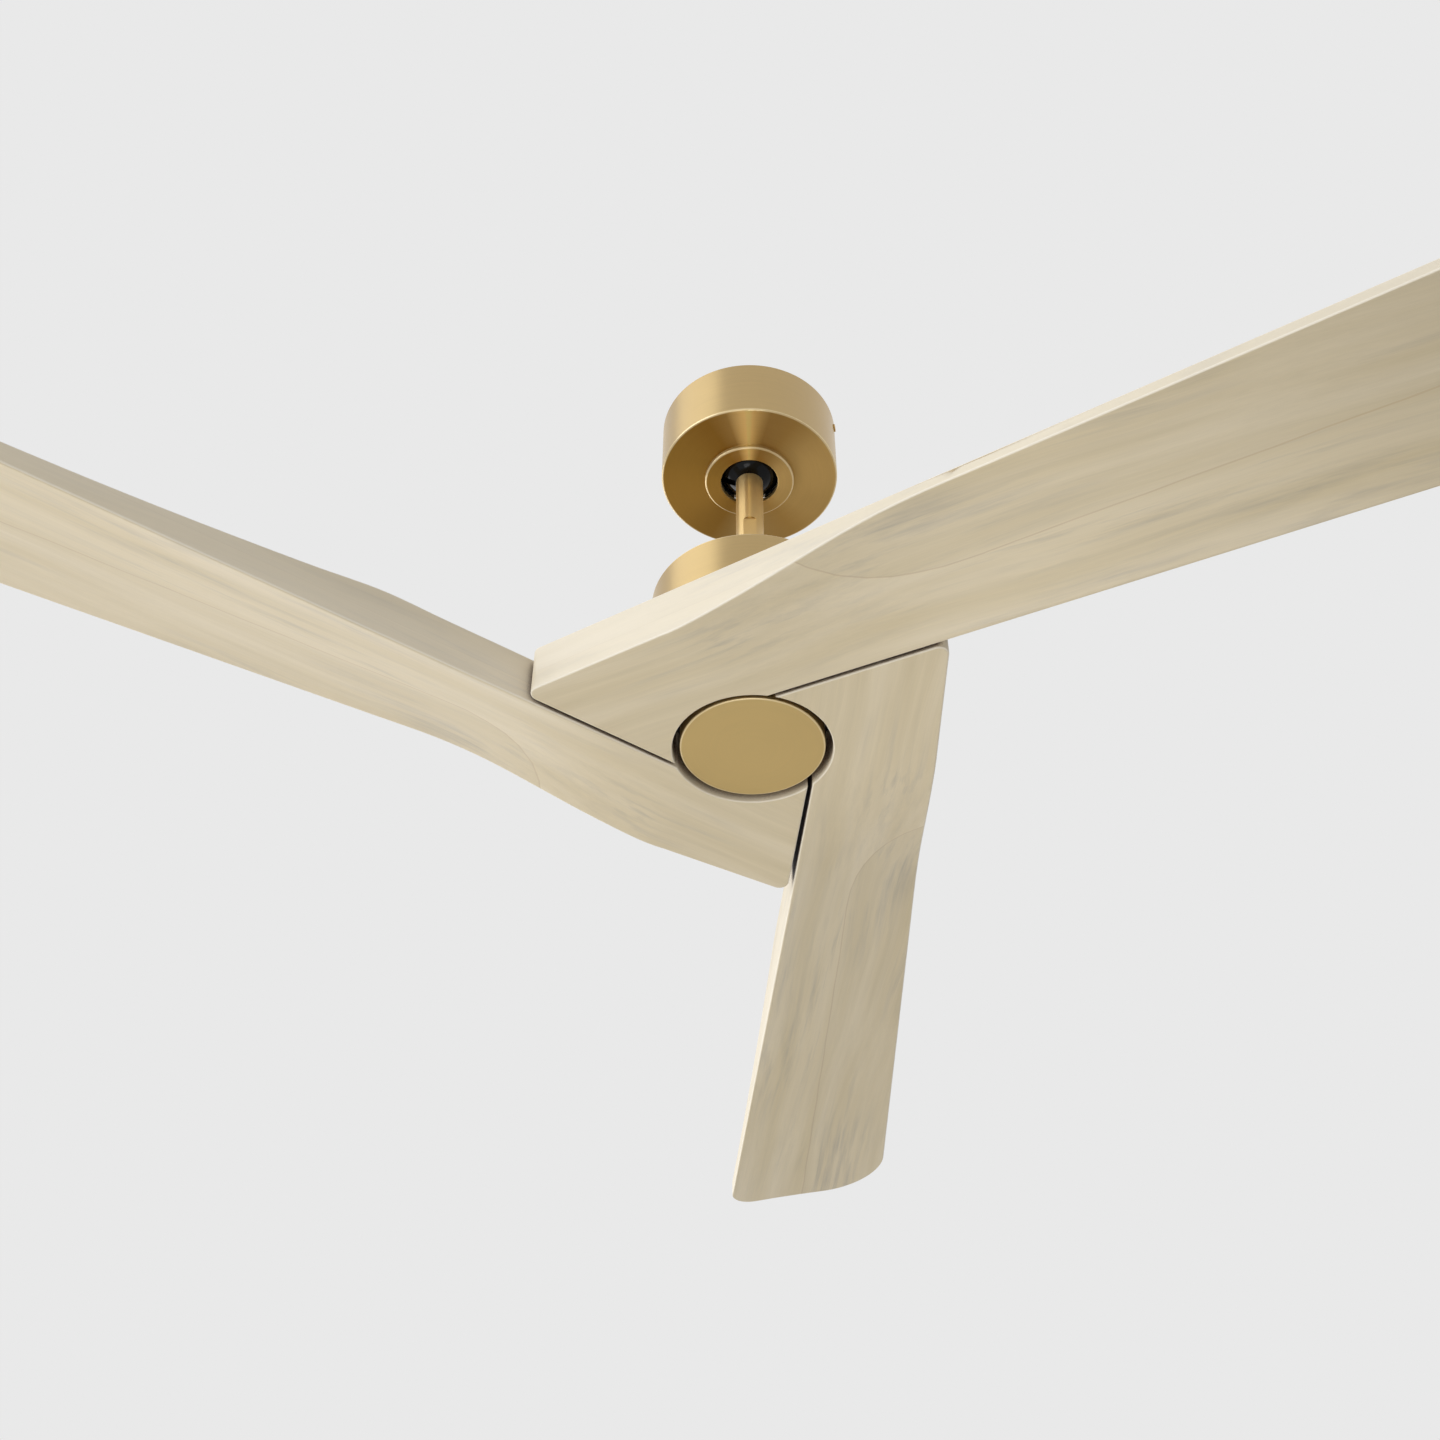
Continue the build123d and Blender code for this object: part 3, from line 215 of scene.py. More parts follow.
class FanScrewSettings(bpy.types.PropertyGroup):
    """Shape of the cross recesses and pan heads of the machine screws."""

    recess_span: bpy.props.FloatProperty(
        name="Recess span", description="Span of a cross recess as a share of the head's diameter",
        default=0.56, min=0.2, max=0.8, subtype="FACTOR")
    recess_width: bpy.props.FloatProperty(
        name="Recess width", description="Width of a recess arm as a share of the head's diameter",
        default=0.15, min=0.05, max=0.4, subtype="FACTOR")
    recess_depth: bpy.props.FloatProperty(
        name="Recess depth", description="Depth of a cross recess as a share of the head's height",
        default=0.55, min=0.1, max=0.9, subtype="FACTOR")
    head_round: bpy.props.FloatProperty(
        name="Head round", description="Rounding of a head's rim as a share of the head's height",
        default=0.45, min=0.05, max=0.8, subtype="FACTOR")


class FanStudioSettings(bpy.types.PropertyGroup):
    """Backdrop and light levels."""

    backdrop: bpy.props.FloatVectorProperty(
        name="Backdrop", description="Pale grey behind the fan",
        subtype="COLOR", size=3, default=srgb("#E9E9E9"), min=0.0, max=1.0)
    floor_drop: bpy.props.FloatProperty(
        name="Floor", description="How far the floor is below the ceiling",
        default=2.6, min=0.5, unit="LENGTH")
    key_colour: bpy.props.FloatVectorProperty(
        name="Key colour", description="Cool daylight of the large soft light",
        subtype="COLOR", size=3, default=srgb("#E6EFFF"), min=0.0, max=1.0)
    key_power: bpy.props.FloatProperty(
        name="Key light", description="Power of the large soft light on the left",
        default=72.0, min=0.0, unit="POWER")
    low_power: bpy.props.FloatProperty(
        name="Low light", description="Power of the soft light from below",
        default=6.5, min=0.0, unit="POWER")
    back_power: bpy.props.FloatProperty(
        name="Back light", description="Power of the soft light from the back left",
        default=22.0, min=0.0, unit="POWER")
    window_share: bpy.props.FloatProperty(
        name="Window share", description="How much brighter the room is on its window side",
        default=0.75, min=0.0, max=1.0, subtype="FACTOR")
    ambient: bpy.props.FloatProperty(
        name="Ambient", description="Strength of the even light from all round",
        default=0.59, min=0.0)


# ---------------------------------------------------------------- shaders


def new_material(name):
    """Empty node material. Returns it and its node tree."""
    material = bpy.data.materials.new(name)
    material.use_nodes = True
    material.node_tree.nodes.clear()
    return material, material.node_tree


def add(tree, kind, inputs=None, **settings):
    """Add a node, set its properties, and set or link its inputs.

    A tuple of a node and an output is a link.
    """
    node = tree.nodes.new(kind)
    for name, value in settings.items():
        setattr(node, name, value)
    for name, value in (inputs or {}).items():
        if isinstance(value, tuple) and isinstance(value[0], bpy.types.Node):
            tree.links.new(value[0].outputs[value[1]], node.inputs[name])
        else:
            node.inputs[name].default_value = value
    return node


def oiled_maple(azimuth, outer_shade):
    """Laminated pale hardwood, carved, sanded and oiled.

    The eye sees long quiet fibres along the blade, feathery grey mineral streaks in clusters, a
    slightly different tone in each board, and a hair line of glue wherever the carving cuts down
    into the next board. The sides are painted paler than the faces and the roundings almost white,
    as painted light and a painted highlight; the joints go brown and dark as painted shade, and a
    blade may be painted darker towards its outer end as painted shade.
    """
    wood = bpy.context.scene.fan_wood
    material, tree = new_material("oiled_laminated_maple")
    place = add(tree, "ShaderNodeTexCoord")
    # grain runs along the blade, so the pattern is turned to the blade's own direction
    turned = add(tree, "ShaderNodeMapping",
                 {"Vector": (place, "Object"), "Rotation": (0.0, 0.0, -azimuth)})
    height = add(tree, "ShaderNodeSeparateXYZ", {"Vector": (turned, "Vector")})
    joint = BLADE_BOTTOM + wood.joint
    board = add(tree, "ShaderNodeMath", {0: (height, "Z"), 1: joint}, operation="GREATER_THAN")
    # each board is another piece of the tree: its pattern starts somewhere else
    shift = add(tree, "ShaderNodeVectorMath", {0: (board, 0), 1: (0.61, 0.37, 0.23)},
                operation="MULTIPLY")
    stock = add(tree, "ShaderNodeVectorMath", {0: (turned, "Vector"), 1: (shift, 0)},
                operation="ADD")
    # the grain wanders sideways by a few millimetres over the length of a hand
    wander_at = add(tree, "ShaderNodeVectorMath", {0: (stock, 0), 1: (3.5, 5.0, 5.0)},
                    operation="MULTIPLY")
    wander = add(tree, "ShaderNodeTexNoise",
                 {"Vector": (wander_at, 0), "Scale": 1.0, "Detail": 1.0})
    sideways = add(tree, "ShaderNodeVectorMath",
                   {0: (wander, "Color"), 1: (0.0, 0.030, 0.030)}, operation="MULTIPLY")
    grain = add(tree, "ShaderNodeVectorMath", {0: (stock, 0), 1: (sideways, 0)}, operation="ADD")
    # growth bands about 25 mm wide and half a metre long
    bands = stretched_noise(tree, grain, (1.6, 38.0, 38.0), 3.0, 0.55)
    # fibre bundles 5 mm wide, and fibres 1 mm wide, twice as coarse as real so that they show
    bundles = stretched_noise(tree, grain, (5.0, 210.0, 210.0), 2.0, 0.5)
    fibres = stretched_noise(tree, grain, (14.0, 900.0, 900.0), 2.0, 0.6)
    # mineral streaks: thin feathers 8 mm wide, gathered in clusters a hand wide
    feathers = stretched_noise(tree, grain, (6.0, 120.0, 120.0), 5.0, 0.62)
    clusters = stretched_noise(tree, stock, (3.6, 12.0, 12.0), 2.0, 0.5)
    feather = ramp(tree, (feathers, "Fac"), 0.48, 0.76, 0.0, 1.0)
    cluster = ramp(tree, (clusters, "Fac"), 0.47, 0.66, 0.0, 1.0)
    streak = add(tree, "ShaderNodeMath", {0: (feather, 0), 1: (cluster, 0)}, operation="MULTIPLY")
    streak_amount = add(tree, "ShaderNodeMath", {0: (streak, 0), 1: wood.streak_depth},
                        operation="MULTIPLY")
    tone = add(tree, "ShaderNodeMix",
               {"Factor": (ramp(tree, (bands, "Fac"), 0.30, 0.70, 0.0, 1.0), 0),
                "A": rgba(wood.light), "B": rgba(wood.dark)}, data_type="RGBA")
    streaked = add(tree, "ShaderNodeMix",
                   {"Factor": (streak_amount, 0), "A": (tone, "Result"), "B": rgba(wood.streak)},
                   data_type="RGBA")
    bundle_shade = ramp(tree, (bundles, "Fac"), 0.30, 0.70, 0.98, 1.018)
    fibre_shade = ramp(tree, (fibres, "Fac"), 0.30, 0.70, 0.975, 1.02)
    board_shade = ramp(tree, (board, 0), 0.0, 1.0, 1.0, 0.97)
    shade = add(tree, "ShaderNodeMath", {0: (bundle_shade, 0), 1: (fibre_shade, 0)},
                operation="MULTIPLY")
    full_shade = add(tree, "ShaderNodeMath", {0: (shade, 0), 1: (board_shade, 0)},
                     operation="MULTIPLY")
    # painted shade: a blade may be painted darker towards its outer end
    painted_outer_shade = ramp(tree, (height, "X"), OUTER_SHADE_START, OUTER_SHADE_END, 1.0, outer_shade)
    outer_shaded = add(tree, "ShaderNodeMath", {0: (full_shade, 0), 1: (painted_outer_shade, 0)},
                        operation="MULTIPLY")
    fibred = add(tree, "ShaderNodeVectorMath",
                 {0: (streaked, "Result"), "Scale": (outer_shaded, 0)}, operation="SCALE")
    line = add(tree, "ShaderNodeMath", {0: (height, "Z"), 1: joint, 2: GLUE_HALF_HEIGHT},
               operation="COMPARE")
    line_amount = add(tree, "ShaderNodeMath", {0: (line, 0), 1: GLUE_SHARE}, operation="MULTIPLY")
    glued = add(tree, "ShaderNodeMix",
                {"Factor": (line_amount, 0), "A": (fibred, 0), "B": rgba(wood.glue)},
                data_type="RGBA")
    # painted light: the upright sides are painted paler than the faces, the way light falls on them
    level, strayed = level_wall_normal(tree)
    facing = add(tree, "ShaderNodeSeparateXYZ", {"Vector": (own_direction(tree, level), 0)})
    flatness = add(tree, "ShaderNodeMath", {0: (facing, "Z")}, operation="ABSOLUTE")
    side = ramp(tree, (flatness, 0), 0.25, 0.75, 1.0, 0.0)
    side_amount = add(tree, "ShaderNodeMath", {0: (side, 0), 1: wood.side_paleness},
                      operation="MULTIPLY")
    paled = add(tree, "ShaderNodeMix",
                {"Factor": (side_amount, 0), "A": (glued, "Result"), "B": rgba(wood.painted_sheen)},
                data_type="RGBA")
    # painted highlight: the roundings between faces and sides are painted almost white
    edge = edge_mask(tree, flatness)
    edge_amount = add(tree, "ShaderNodeMath", {0: (edge, 0), 1: EDGE_HIGHLIGHT_SHARE},
                      operation="MULTIPLY")
    colour = add(tree, "ShaderNodeMix",
                 {"Factor": (edge_amount, 0), "A": (paled, "Result"), "B": rgba(wood.painted_sheen)},
                 data_type="RGBA")
    # painted shade: the joints and the gap round the hub are painted brown and then dark
    joint_shaded, hidden = painted_joint_shade(tree, (colour, "Result"), (level, "Result"))
    satin = ramp(tree, (fibres, "Fac"), 0.2, 0.8, 0.44, 0.56)
    dulled = add(tree, "ShaderNodeMath", {0: (satin, 0), 1: (hidden, 0)}, operation="MAXIMUM")
    gloss = add(tree, "ShaderNodeMath", {0: (dulled, 0), 1: (strayed, 0)}, operation="MAXIMUM")
    rough = add(tree, "ShaderNodeMath", {0: (fibres, "Fac"), 1: (bundles, "Fac")}, operation="ADD")
    relief = add(tree, "ShaderNodeBump",
                 {"Height": (rough, 0), "Strength": 0.06, "Distance": 0.2 * MM,
                  "Normal": (level, "Result")})
    surface = add(tree, "ShaderNodeBsdfPrincipled",
                  {"Base Color": (joint_shaded, "Result"), "Metallic": (strayed, 0),
                   "Roughness": (gloss, 0), "Normal": (relief, 0), "IOR": 1.45, "Coat Weight": 0.10,
                   "Coat Roughness": 0.30})
    add(tree, "ShaderNodeOutputMaterial", {"Surface": (surface, 0)})
    return material


def own_direction(tree, world):
    """Direction in the object's own axes."""
    socket = "Result" if "Result" in world.outputs else 0
    return add(tree, "ShaderNodeVectorTransform", {"Vector": (world, socket)}, vector_type="NORMAL",
               convert_from="WORLD", convert_to="OBJECT")


def level_wall_normal(tree):
    """Smooth normal, but the flat one wherever an upright wall leans away from it.

    A long wall triangle beside a rounding carries the rounding's normal at one corner, and would
    shade a dull wedge into the wall.
    """
    ground = add(tree, "ShaderNodeNewGeometry")
    flat = add(tree, "ShaderNodeVectorTransform", {"Vector": (ground, "True Normal")},
               vector_type="NORMAL", convert_from="WORLD", convert_to="OBJECT")
    lean = add(tree, "ShaderNodeSeparateXYZ", {"Vector": (flat, 0)})
    upright = add(tree, "ShaderNodeMath", {0: (lean, "Z"), 1: 0.0, 2: 0.05}, operation="COMPARE")
    agreement = add(tree, "ShaderNodeVectorMath",
                    {0: (ground, "Normal"), 1: (ground, "True Normal")}, operation="DOT_PRODUCT")
    strayed = ramp(tree, (agreement, "Value"), 0.9990, 0.9965, 0.0, 1.0)
    share = add(tree, "ShaderNodeMath", {0: (upright, 0), 1: (strayed, 0)}, operation="MULTIPLY")
    level = add(tree, "ShaderNodeMix",
                {"Factor": (share, 0), "A": (ground, "Normal"), "B": (ground, "True Normal")},
                data_type="VECTOR")
    far = ramp(tree, (agreement, "Value"), 0.93, 0.35, 0.0, 1.0)
    far_share = add(tree, "ShaderNodeMath", {0: (upright, 0), 1: (far, 0)}, operation="MULTIPLY")
    return level, far_share


def stretched_noise(tree, place, per_metre, detail, roughness):
    """Noise with its own count of features per metre along each axis."""
    at = add(tree, "ShaderNodeVectorMath", {0: (place, 0), 1: per_metre}, operation="MULTIPLY")
    return add(tree, "ShaderNodeTexNoise",
               {"Vector": (at, 0), "Scale": 1.0, "Detail": detail, "Roughness": roughness})


def ramp(tree, value, low, high, start, end):
    """Map a value between two limits onto a range, and hold it there."""
    return add(tree, "ShaderNodeMapRange",
               {"Value": value, "From Min": low, "From Max": high, "To Min": start, "To Max": end})


def edge_mask(tree, flatness):
    """1 on the rounding between a flat face and an upright wall, 0 on both."""
    off_face = ramp(tree, (flatness, 0), 0.80, 0.96, 1.0, 0.0)
    off_wall = ramp(tree, (flatness, 0), 0.06, 0.34, 0.0, 1.0)
    return add(tree, "ShaderNodeMath", {0: (off_face, 0), 1: (off_wall, 0)}, operation="MULTIPLY")


def painted_joint_shade(tree, colour, normal):
    """Colour that goes brown and then dark where a neighbour stands close by.

    Painted shade: the brown and then the dark stand in for the shade in a joint. Also returns how
    far into a joint a point lies.
    """
    open_air = add(tree, "ShaderNodeAmbientOcclusion", {"Distance": JOINT_SHADE_REACH, "Normal": normal},
                   samples=8)
    warmth = ramp(tree, (open_air, "AO"), 0.23, 0.45, 1.0, 0.0)
    depth = ramp(tree, (open_air, "AO"), 0.14, 0.35, 1.0, 0.0)
    warmed = add(tree, "ShaderNodeMix",
                 {"Factor": (warmth, 0), "A": colour, "B": rgba(srgb(JOINT_SHADE_BROWN))},
                 data_type="RGBA")
    shaded = add(tree, "ShaderNodeMix",
                 {"Factor": (depth, 0), "A": (warmed, "Result"), "B": rgba(srgb(JOINT_SHADE_DARK))},
                 data_type="RGBA")
    return shaded, warmth


def rim_mask(tree, radius, height, rims):
    """1 on the rims, given as pairs of a radius and a height, and 0 a rim's width away."""
    at = add(tree, "ShaderNodeCombineXYZ", {"X": (radius, "Value"), "Y": height, "Z": 0.0})
    mask = None
    for rim in rims:
        away = add(tree, "ShaderNodeVectorMath", {0: (at, 0), 1: (rim[0], rim[1], 0.0)},
                   operation="DISTANCE")
        near = ramp(tree, (away, "Value"), 0.55 * RIM_WIDTH, RIM_WIDTH, 1.0, 0.0)
        mask = near if mask is None else add(tree, "ShaderNodeMath", {0: (mask, 0), 1: (near, 0)},
                                             operation="MAXIMUM")
    return mask


def brushed_brass(name, bright, underside_shade, line_pitch, roughness, anisotropy, line_depth, rims=(),
                  painted_spokes=1.0, lacquer=0.6):
    """Spun brass, brushed round its axis and lacquered.

    The eye sees hair lines that run round each drum and face, so light spreads into soft upright
    bands on a wall and into radial streaks on a flat face. Faces that look down are painted a
    darker, redder gold as painted shade, less so near the line from front to back through the axis
    and towards the right; the front of such a face carries a pale painted highlight, and its right
    side is painted brighter. The rims, each a pair of a radius and a height, are partly worn bright
    and partly a painted highlight. line_pitch is the spacing of the lines in metres, about twice
    what it really is so that they show. The painted-spokes flag is 1 for a face with the painted
    highlight and brighter right side, and 0 for a plain one, and lacquer is the weight of the clear
    film on the walls.
    """
    material, tree = new_material(name)
    place = add(tree, "ShaderNodeTexCoord")
    axes = add(tree, "ShaderNodeSeparateXYZ", {"Vector": (place, "Object")})
    across = add(tree, "ShaderNodeCombineXYZ", {"X": (axes, "X"), "Y": (axes, "Y")})
    radius = add(tree, "ShaderNodeVectorMath", {0: (across, 0)}, operation="LENGTH")
    # distance across the brush lines: height on a wall, radius on a flat face
    travel = add(tree, "ShaderNodeMath", {0: (radius, "Value"), 1: (axes, "Z")},
                 operation="SUBTRACT")
    fine_travel = add(tree, "ShaderNodeMath", {0: (travel, 0), 1: 1.0 / line_pitch},
                      operation="MULTIPLY")
    # a line fades out and another takes over every 60 mm or so round the drum
    around = add(tree, "ShaderNodeVectorMath", {0: (across, 0), 1: (17.0, 17.0, 0.0)},
                 operation="MULTIPLY")
    around_axes = add(tree, "ShaderNodeSeparateXYZ", {"Vector": (around, 0)})
    lines_at = add(tree, "ShaderNodeCombineXYZ",
                   {"X": (around_axes, "X"), "Y": (around_axes, "Y"), "Z": (fine_travel, 0)})
    lines = add(tree, "ShaderNodeTexNoise",
                {"Vector": (lines_at, 0), "Scale": 1.0, "Detail": 2.0, "Roughness": 0.6})
    handling = add(tree, "ShaderNodeTexNoise",
                   {"Vector": (place, "Object"), "Scale": 14.0, "Detail": 3.0, "Roughness": 0.5})
    facing = add(tree, "ShaderNodeSeparateXYZ", {"Vector": (place, "Normal")})
    down = ramp(tree, (facing, "Z"), -0.35, -0.85, 0.0, 1.0)
    # painted shade: an underside is painted a deep gold in place of the dark room it reflects, less
    # deep near the line from front to back through the axis and towards the right
    around_share = add(tree, "ShaderNodeVectorMath", {0: (across, 0)}, operation="NORMALIZE")
    share = add(tree, "ShaderNodeSeparateXYZ", {"Vector": (around_share, 0)})
    off_tie = add(tree, "ShaderNodeMath", {0: (share, "X")}, operation="ABSOLUTE")
    spread = ramp(tree, (off_tie, 0), 0.05, 0.55, 0.25, 1.0)
    turned_right = ramp(tree, (share, "X"), -0.3, 0.8, 1.10, 0.50)
    between = add(tree, "ShaderNodeMath", {0: (spread, 0), 1: (turned_right, 0)},
                  operation="MULTIPLY")
    depth = add(tree, "ShaderNodeMath", {0: (down, 0), 1: (between, 0)}, operation="MULTIPLY",
                use_clamp=True)
    base = add(tree, "ShaderNodeMix", {"Factor": (depth, 0), "A": rgba(bright), "B": rgba(underside_shade)},
               data_type="RGBA")
    # painted highlight: a pale spoke painted on the front half of an underside
    front_spoke = ramp(tree, (off_tie, 0), 0.02, 0.26, 1.0, 0.0)
    front_half = ramp(tree, (share, "Y"), 0.0, -0.5, 0.0, SPOKE_HIGHLIGHT_SHARE * painted_spokes)
    painted_spoke = add(tree, "ShaderNodeMath", {0: (front_spoke, 0), 1: (front_half, 0)},
                operation="MULTIPLY")
    painted_spoke_down = add(tree, "ShaderNodeMath", {0: (painted_spoke, 0), 1: (down, 0)}, operation="MULTIPLY")
    tone = add(tree, "ShaderNodeMix",
               {"Factor": (painted_spoke_down, 0), "A": (base, "Result"), "B": rgba(srgb(SPOKE_HIGHLIGHT))},
               data_type="RGBA")
    line_shade = ramp(tree, (lines, "Fac"), 0.30, 0.70, 1.0 - line_depth, 1.0 + line_depth)
    cloud_shade = ramp(tree, (handling, "Fac"), 0.30, 0.70, 0.985, 1.015)
    fine_shade = add(tree, "ShaderNodeMath", {0: (line_shade, 0), 1: (cloud_shade, 0)},
                     operation="MULTIPLY")
    # painted light: the spoke and the right side of an underside are painted brighter
    painted_right_side = ramp(tree, (share, "X"), 0.1, 0.8, 0.0, painted_spokes)
    right_down = add(tree, "ShaderNodeMath", {0: (painted_right_side, 0), 1: (down, 0)},
                     operation="MULTIPLY")
    painted_catch = add(tree, "ShaderNodeMath", {0: (right_down, 0), 1: (painted_spoke_down, 0)},
                 operation="MAXIMUM")
    light_lift = ramp(tree, (painted_catch, 0), 0.0, 1.0, 1.0, PAINTED_LIGHT_LIFT)
    shade = add(tree, "ShaderNodeMath", {0: (fine_shade, 0), 1: (light_lift, 0)}, operation="MULTIPLY")
    brushed = add(tree, "ShaderNodeVectorMath", {0: (tone, "Result"), "Scale": (shade, 0)},
                  operation="SCALE")
    colour = (brushed, 0)
    # the rims are partly worn bright and partly a painted highlight
    if rims:
        edge = rim_mask(tree, radius, (axes, "Z"), rims)
        edge_amount = add(tree, "ShaderNodeMath", {0: (edge, 0), 1: RIM_SHARE},
                          operation="MULTIPLY")
        rubbed_and_highlit = add(tree, "ShaderNodeMix",
                     {"Factor": (edge_amount, 0), "A": (brushed, 0), "B": rgba(srgb(RIM_HIGHLIGHT_BRASS))},
                     data_type="RGBA")
        colour = (rubbed_and_highlit, "Result")
    gloss = ramp(tree, (lines, "Fac"), 0.30, 0.70, roughness - 0.03, roughness + 0.04)
    relief = add(tree, "ShaderNodeBump",
                 {"Height": (lines, "Fac"), "Strength": 0.05, "Distance": 0.02 * MM})
    film = ramp(tree, (down, 0), 0.0, 1.0, lacquer, 0.2 * lacquer)
    round_axis = add(tree, "ShaderNodeTangent", direction_type="RADIAL", axis="Z")
    surface = add(tree, "ShaderNodeBsdfPrincipled",
                  {"Base Color": colour, "Metallic": 1.0, "Roughness": (gloss, 0),
                   "Anisotropic": anisotropy, "Anisotropic Rotation": 0.25,
                   "Tangent": (round_axis, 0), "Normal": (relief, 0), "Coat Weight": (film, 0),
                   "Coat Roughness": 0.22})
    add(tree, "ShaderNodeOutputMaterial", {"Surface": (surface, 0)})
    return material


def moulded_or_coated(name, light, dark, metallic, roughness, grain, depth, ior=1.5):
    """Plain hidden and small parts: zinc plate, black coating, moulded nylon, copper, ferrite.

    The eye sees a slight cloudiness and a fine skin. grain is the size of that skin's grain in
    metres, and depth is how strongly it shows.
    """
    material, tree = new_material(name)
    place = add(tree, "ShaderNodeTexCoord")
    skin = add(tree, "ShaderNodeTexNoise",
               {"Vector": (place, "Object"), "Scale": 1.0 / grain, "Detail": 2.0, "Roughness": 0.6})
    clouds = add(tree, "ShaderNodeTexNoise",
                 {"Vector": (place, "Object"), "Scale": 45.0, "Detail": 3.0, "Roughness": 0.55})
    colour = add(tree, "ShaderNodeMix",
                 {"Factor": (clouds, "Fac"), "A": rgba(light), "B": rgba(dark)}, data_type="RGBA")
    gloss = ramp(tree, (skin, "Fac"), 0.25, 0.75, roughness - 0.06, roughness + 0.06)
    relief = add(tree, "ShaderNodeBump",
                 {"Height": (skin, "Fac"), "Strength": depth, "Distance": 0.08 * MM})
    sockets = {"Base Color": (colour, "Result"), "Metallic": metallic, "Roughness": (gloss, 0),
               "Normal": (relief, 0)}
    if metallic < 0.5:
        sockets["IOR"] = ior
    surface = add(tree, "ShaderNodeBsdfPrincipled", sockets)
    add(tree, "ShaderNodeOutputMaterial", {"Surface": (surface, 0)})
    return material


def finish_nodes(material, *names):
    """Give CAD nodes one material all over."""
    for name in names:
        mesh = NODES[name].data
        mesh.materials.clear()
        mesh.materials.append(material)


# ---------------------------------------------------------------- machine screws

# node, way its heads look ("up", "down", or "out" from the fan's axis), head radius and head height
SCREW_ROWS = (
    ("canopy_screws", "out", 3.6 * MM, 1.2 * MM),
    ("earth_screw", "down", 4.0 * MM, 2.6 * MM),
    ("housing_screws", "up", 4.5 * MM, 3.0 * MM),
    ("board_screws", "down", 2.8 * MM, 2.0 * MM),
    ("shell_screws", "down", 2.8 * MM, 2.2 * MM),
    ("hub_screws", "down", 4.5 * MM, 3.0 * MM),
    ("blade_screws", "up", 5.2 * MM, 3.2 * MM),
)


def islands(shape):
    """The separate shells of a bmesh, each as a list of its vertices, in the mesh's own order."""
    left = set(shape.verts)
    shells = []
    for first in shape.verts:
        if first not in left:
            continue
        left.remove(first)
        shell = [first]
        for vertex in shell:
            for edge in vertex.link_edges:
                other = edge.other_vert(vertex)
                if other in left:
                    left.remove(other)
                    shell.append(other)
        shells.append(shell)
    return shells


def head_frame(shell, way):
    """Middle of a screw's head, on its outer face, and the direction in which it looks."""
    middle = sum((vertex.co for vertex in shell), Vector()) / len(shell)
    look = {"up": AXIS_UP, "down": AXIS_DOWN,
            "out": Vector((middle.x, middle.y, 0.0)).normalized()}[way]
    reach = max(vertex.co.dot(look) for vertex in shell)
    return middle + look * (reach - middle.dot(look)), look


def cut_recess(shape, top, look, radius, height, screws):
    """Add the tapered cross that is cut out of one head."""
    span, width = screws.recess_span * radius, screws.recess_width * radius
    depth = screws.recess_depth * height
    across = look.orthogonal().normalized()
    along = look.cross(across)
    corners = ((span, width), (width, width), (width, span), (-width, span), (-width, width),
               (-span, width), (-span, -width), (-width, -width), (-width, -span), (width, -span),
               (width, -width), (span, -width))
    mouth, floor = [], []
    for x, y in corners:
        mouth.append(shape.verts.new(top + look * RECESS_STANDOUT * depth + across * x + along * y))
        floor.append(shape.verts.new(top - look * depth + (across * x + along * y) * RECESS_TAPER))
    shape.faces.new(mouth)
    shape.faces.new(reversed(floor))
    for i in range(len(corners)):
        j = (i + 1) % len(corners)
        shape.faces.new((mouth[j], mouth[i], floor[i], floor[j]))


def machine_screws(node, way, radius, height, screws):
    """Screws of one CAD node with rounded pan heads and cross recesses, in place of the node."""
    shape = bmesh.new()
    shape.from_mesh(NODES[node].data)
    bmesh.ops.remove_doubles(shape, verts=shape.verts, dist=WELD)
    cutter = bmesh.new()
    rims = []
    for shell in islands(shape):
        top, look = head_frame(shell, way)
        cut_recess(cutter, top, look, radius, height, screws)
        members = set(shell)
        for edge in shape.edges:
            if edge.verts[0] in members and all(
                    abs((vertex.co - top).dot(look)) < LEVEL
                    and (vertex.co - top).length > HEAD_RIM_SHARE * radius
                    for vertex in edge.verts):
                rims.append(edge)
    bmesh.ops.bevel(shape, geom=rims, offset=screws.head_round * height,
                    segments=HEAD_ROUND_SEGMENTS, profile=0.5, affect="EDGES", clamp_overlap=True)
    bmesh.ops.recalc_face_normals(shape, faces=shape.faces)
    bmesh.ops.recalc_face_normals(cutter, faces=cutter.faces)
    plain = object_from(shape, node + "_plain")
    cross = object_from(cutter, node + "_cross")
    cut = plain.modifiers.new("recess", "BOOLEAN")
    cut.operation = "DIFFERENCE"
    cut.solver = "EXACT"
    cut.object = cross
    bpy.context.view_layer.update()
    evaluated = plain.evaluated_get(bpy.context.evaluated_depsgraph_get())
    mesh = bpy.data.meshes.new_from_object(evaluated)
    for helper in (plain, cross):
        bpy.data.meshes.remove(helper.data)
    mesh.name = node + "_crossed"
    mesh.shade_smooth()
    mesh.set_sharp_from_angle(angle=HEAD_SHARP_ANGLE)
    piece = bpy.data.objects.new(node + "_crossed", mesh)
    bpy.context.scene.collection.objects.link(piece)
    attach(piece, BODY_OF[node])
    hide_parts(node)
    return piece


def object_from(shape, name):
    """Object that holds a bmesh, which is freed."""
    mesh = bpy.data.meshes.new(name)
    shape.to_mesh(mesh)
    shape.free()
    piece = bpy.data.objects.new(name, mesh)
    bpy.context.scene.collection.objects.link(piece)
    return piece


# ---------------------------------------------------------------- operators


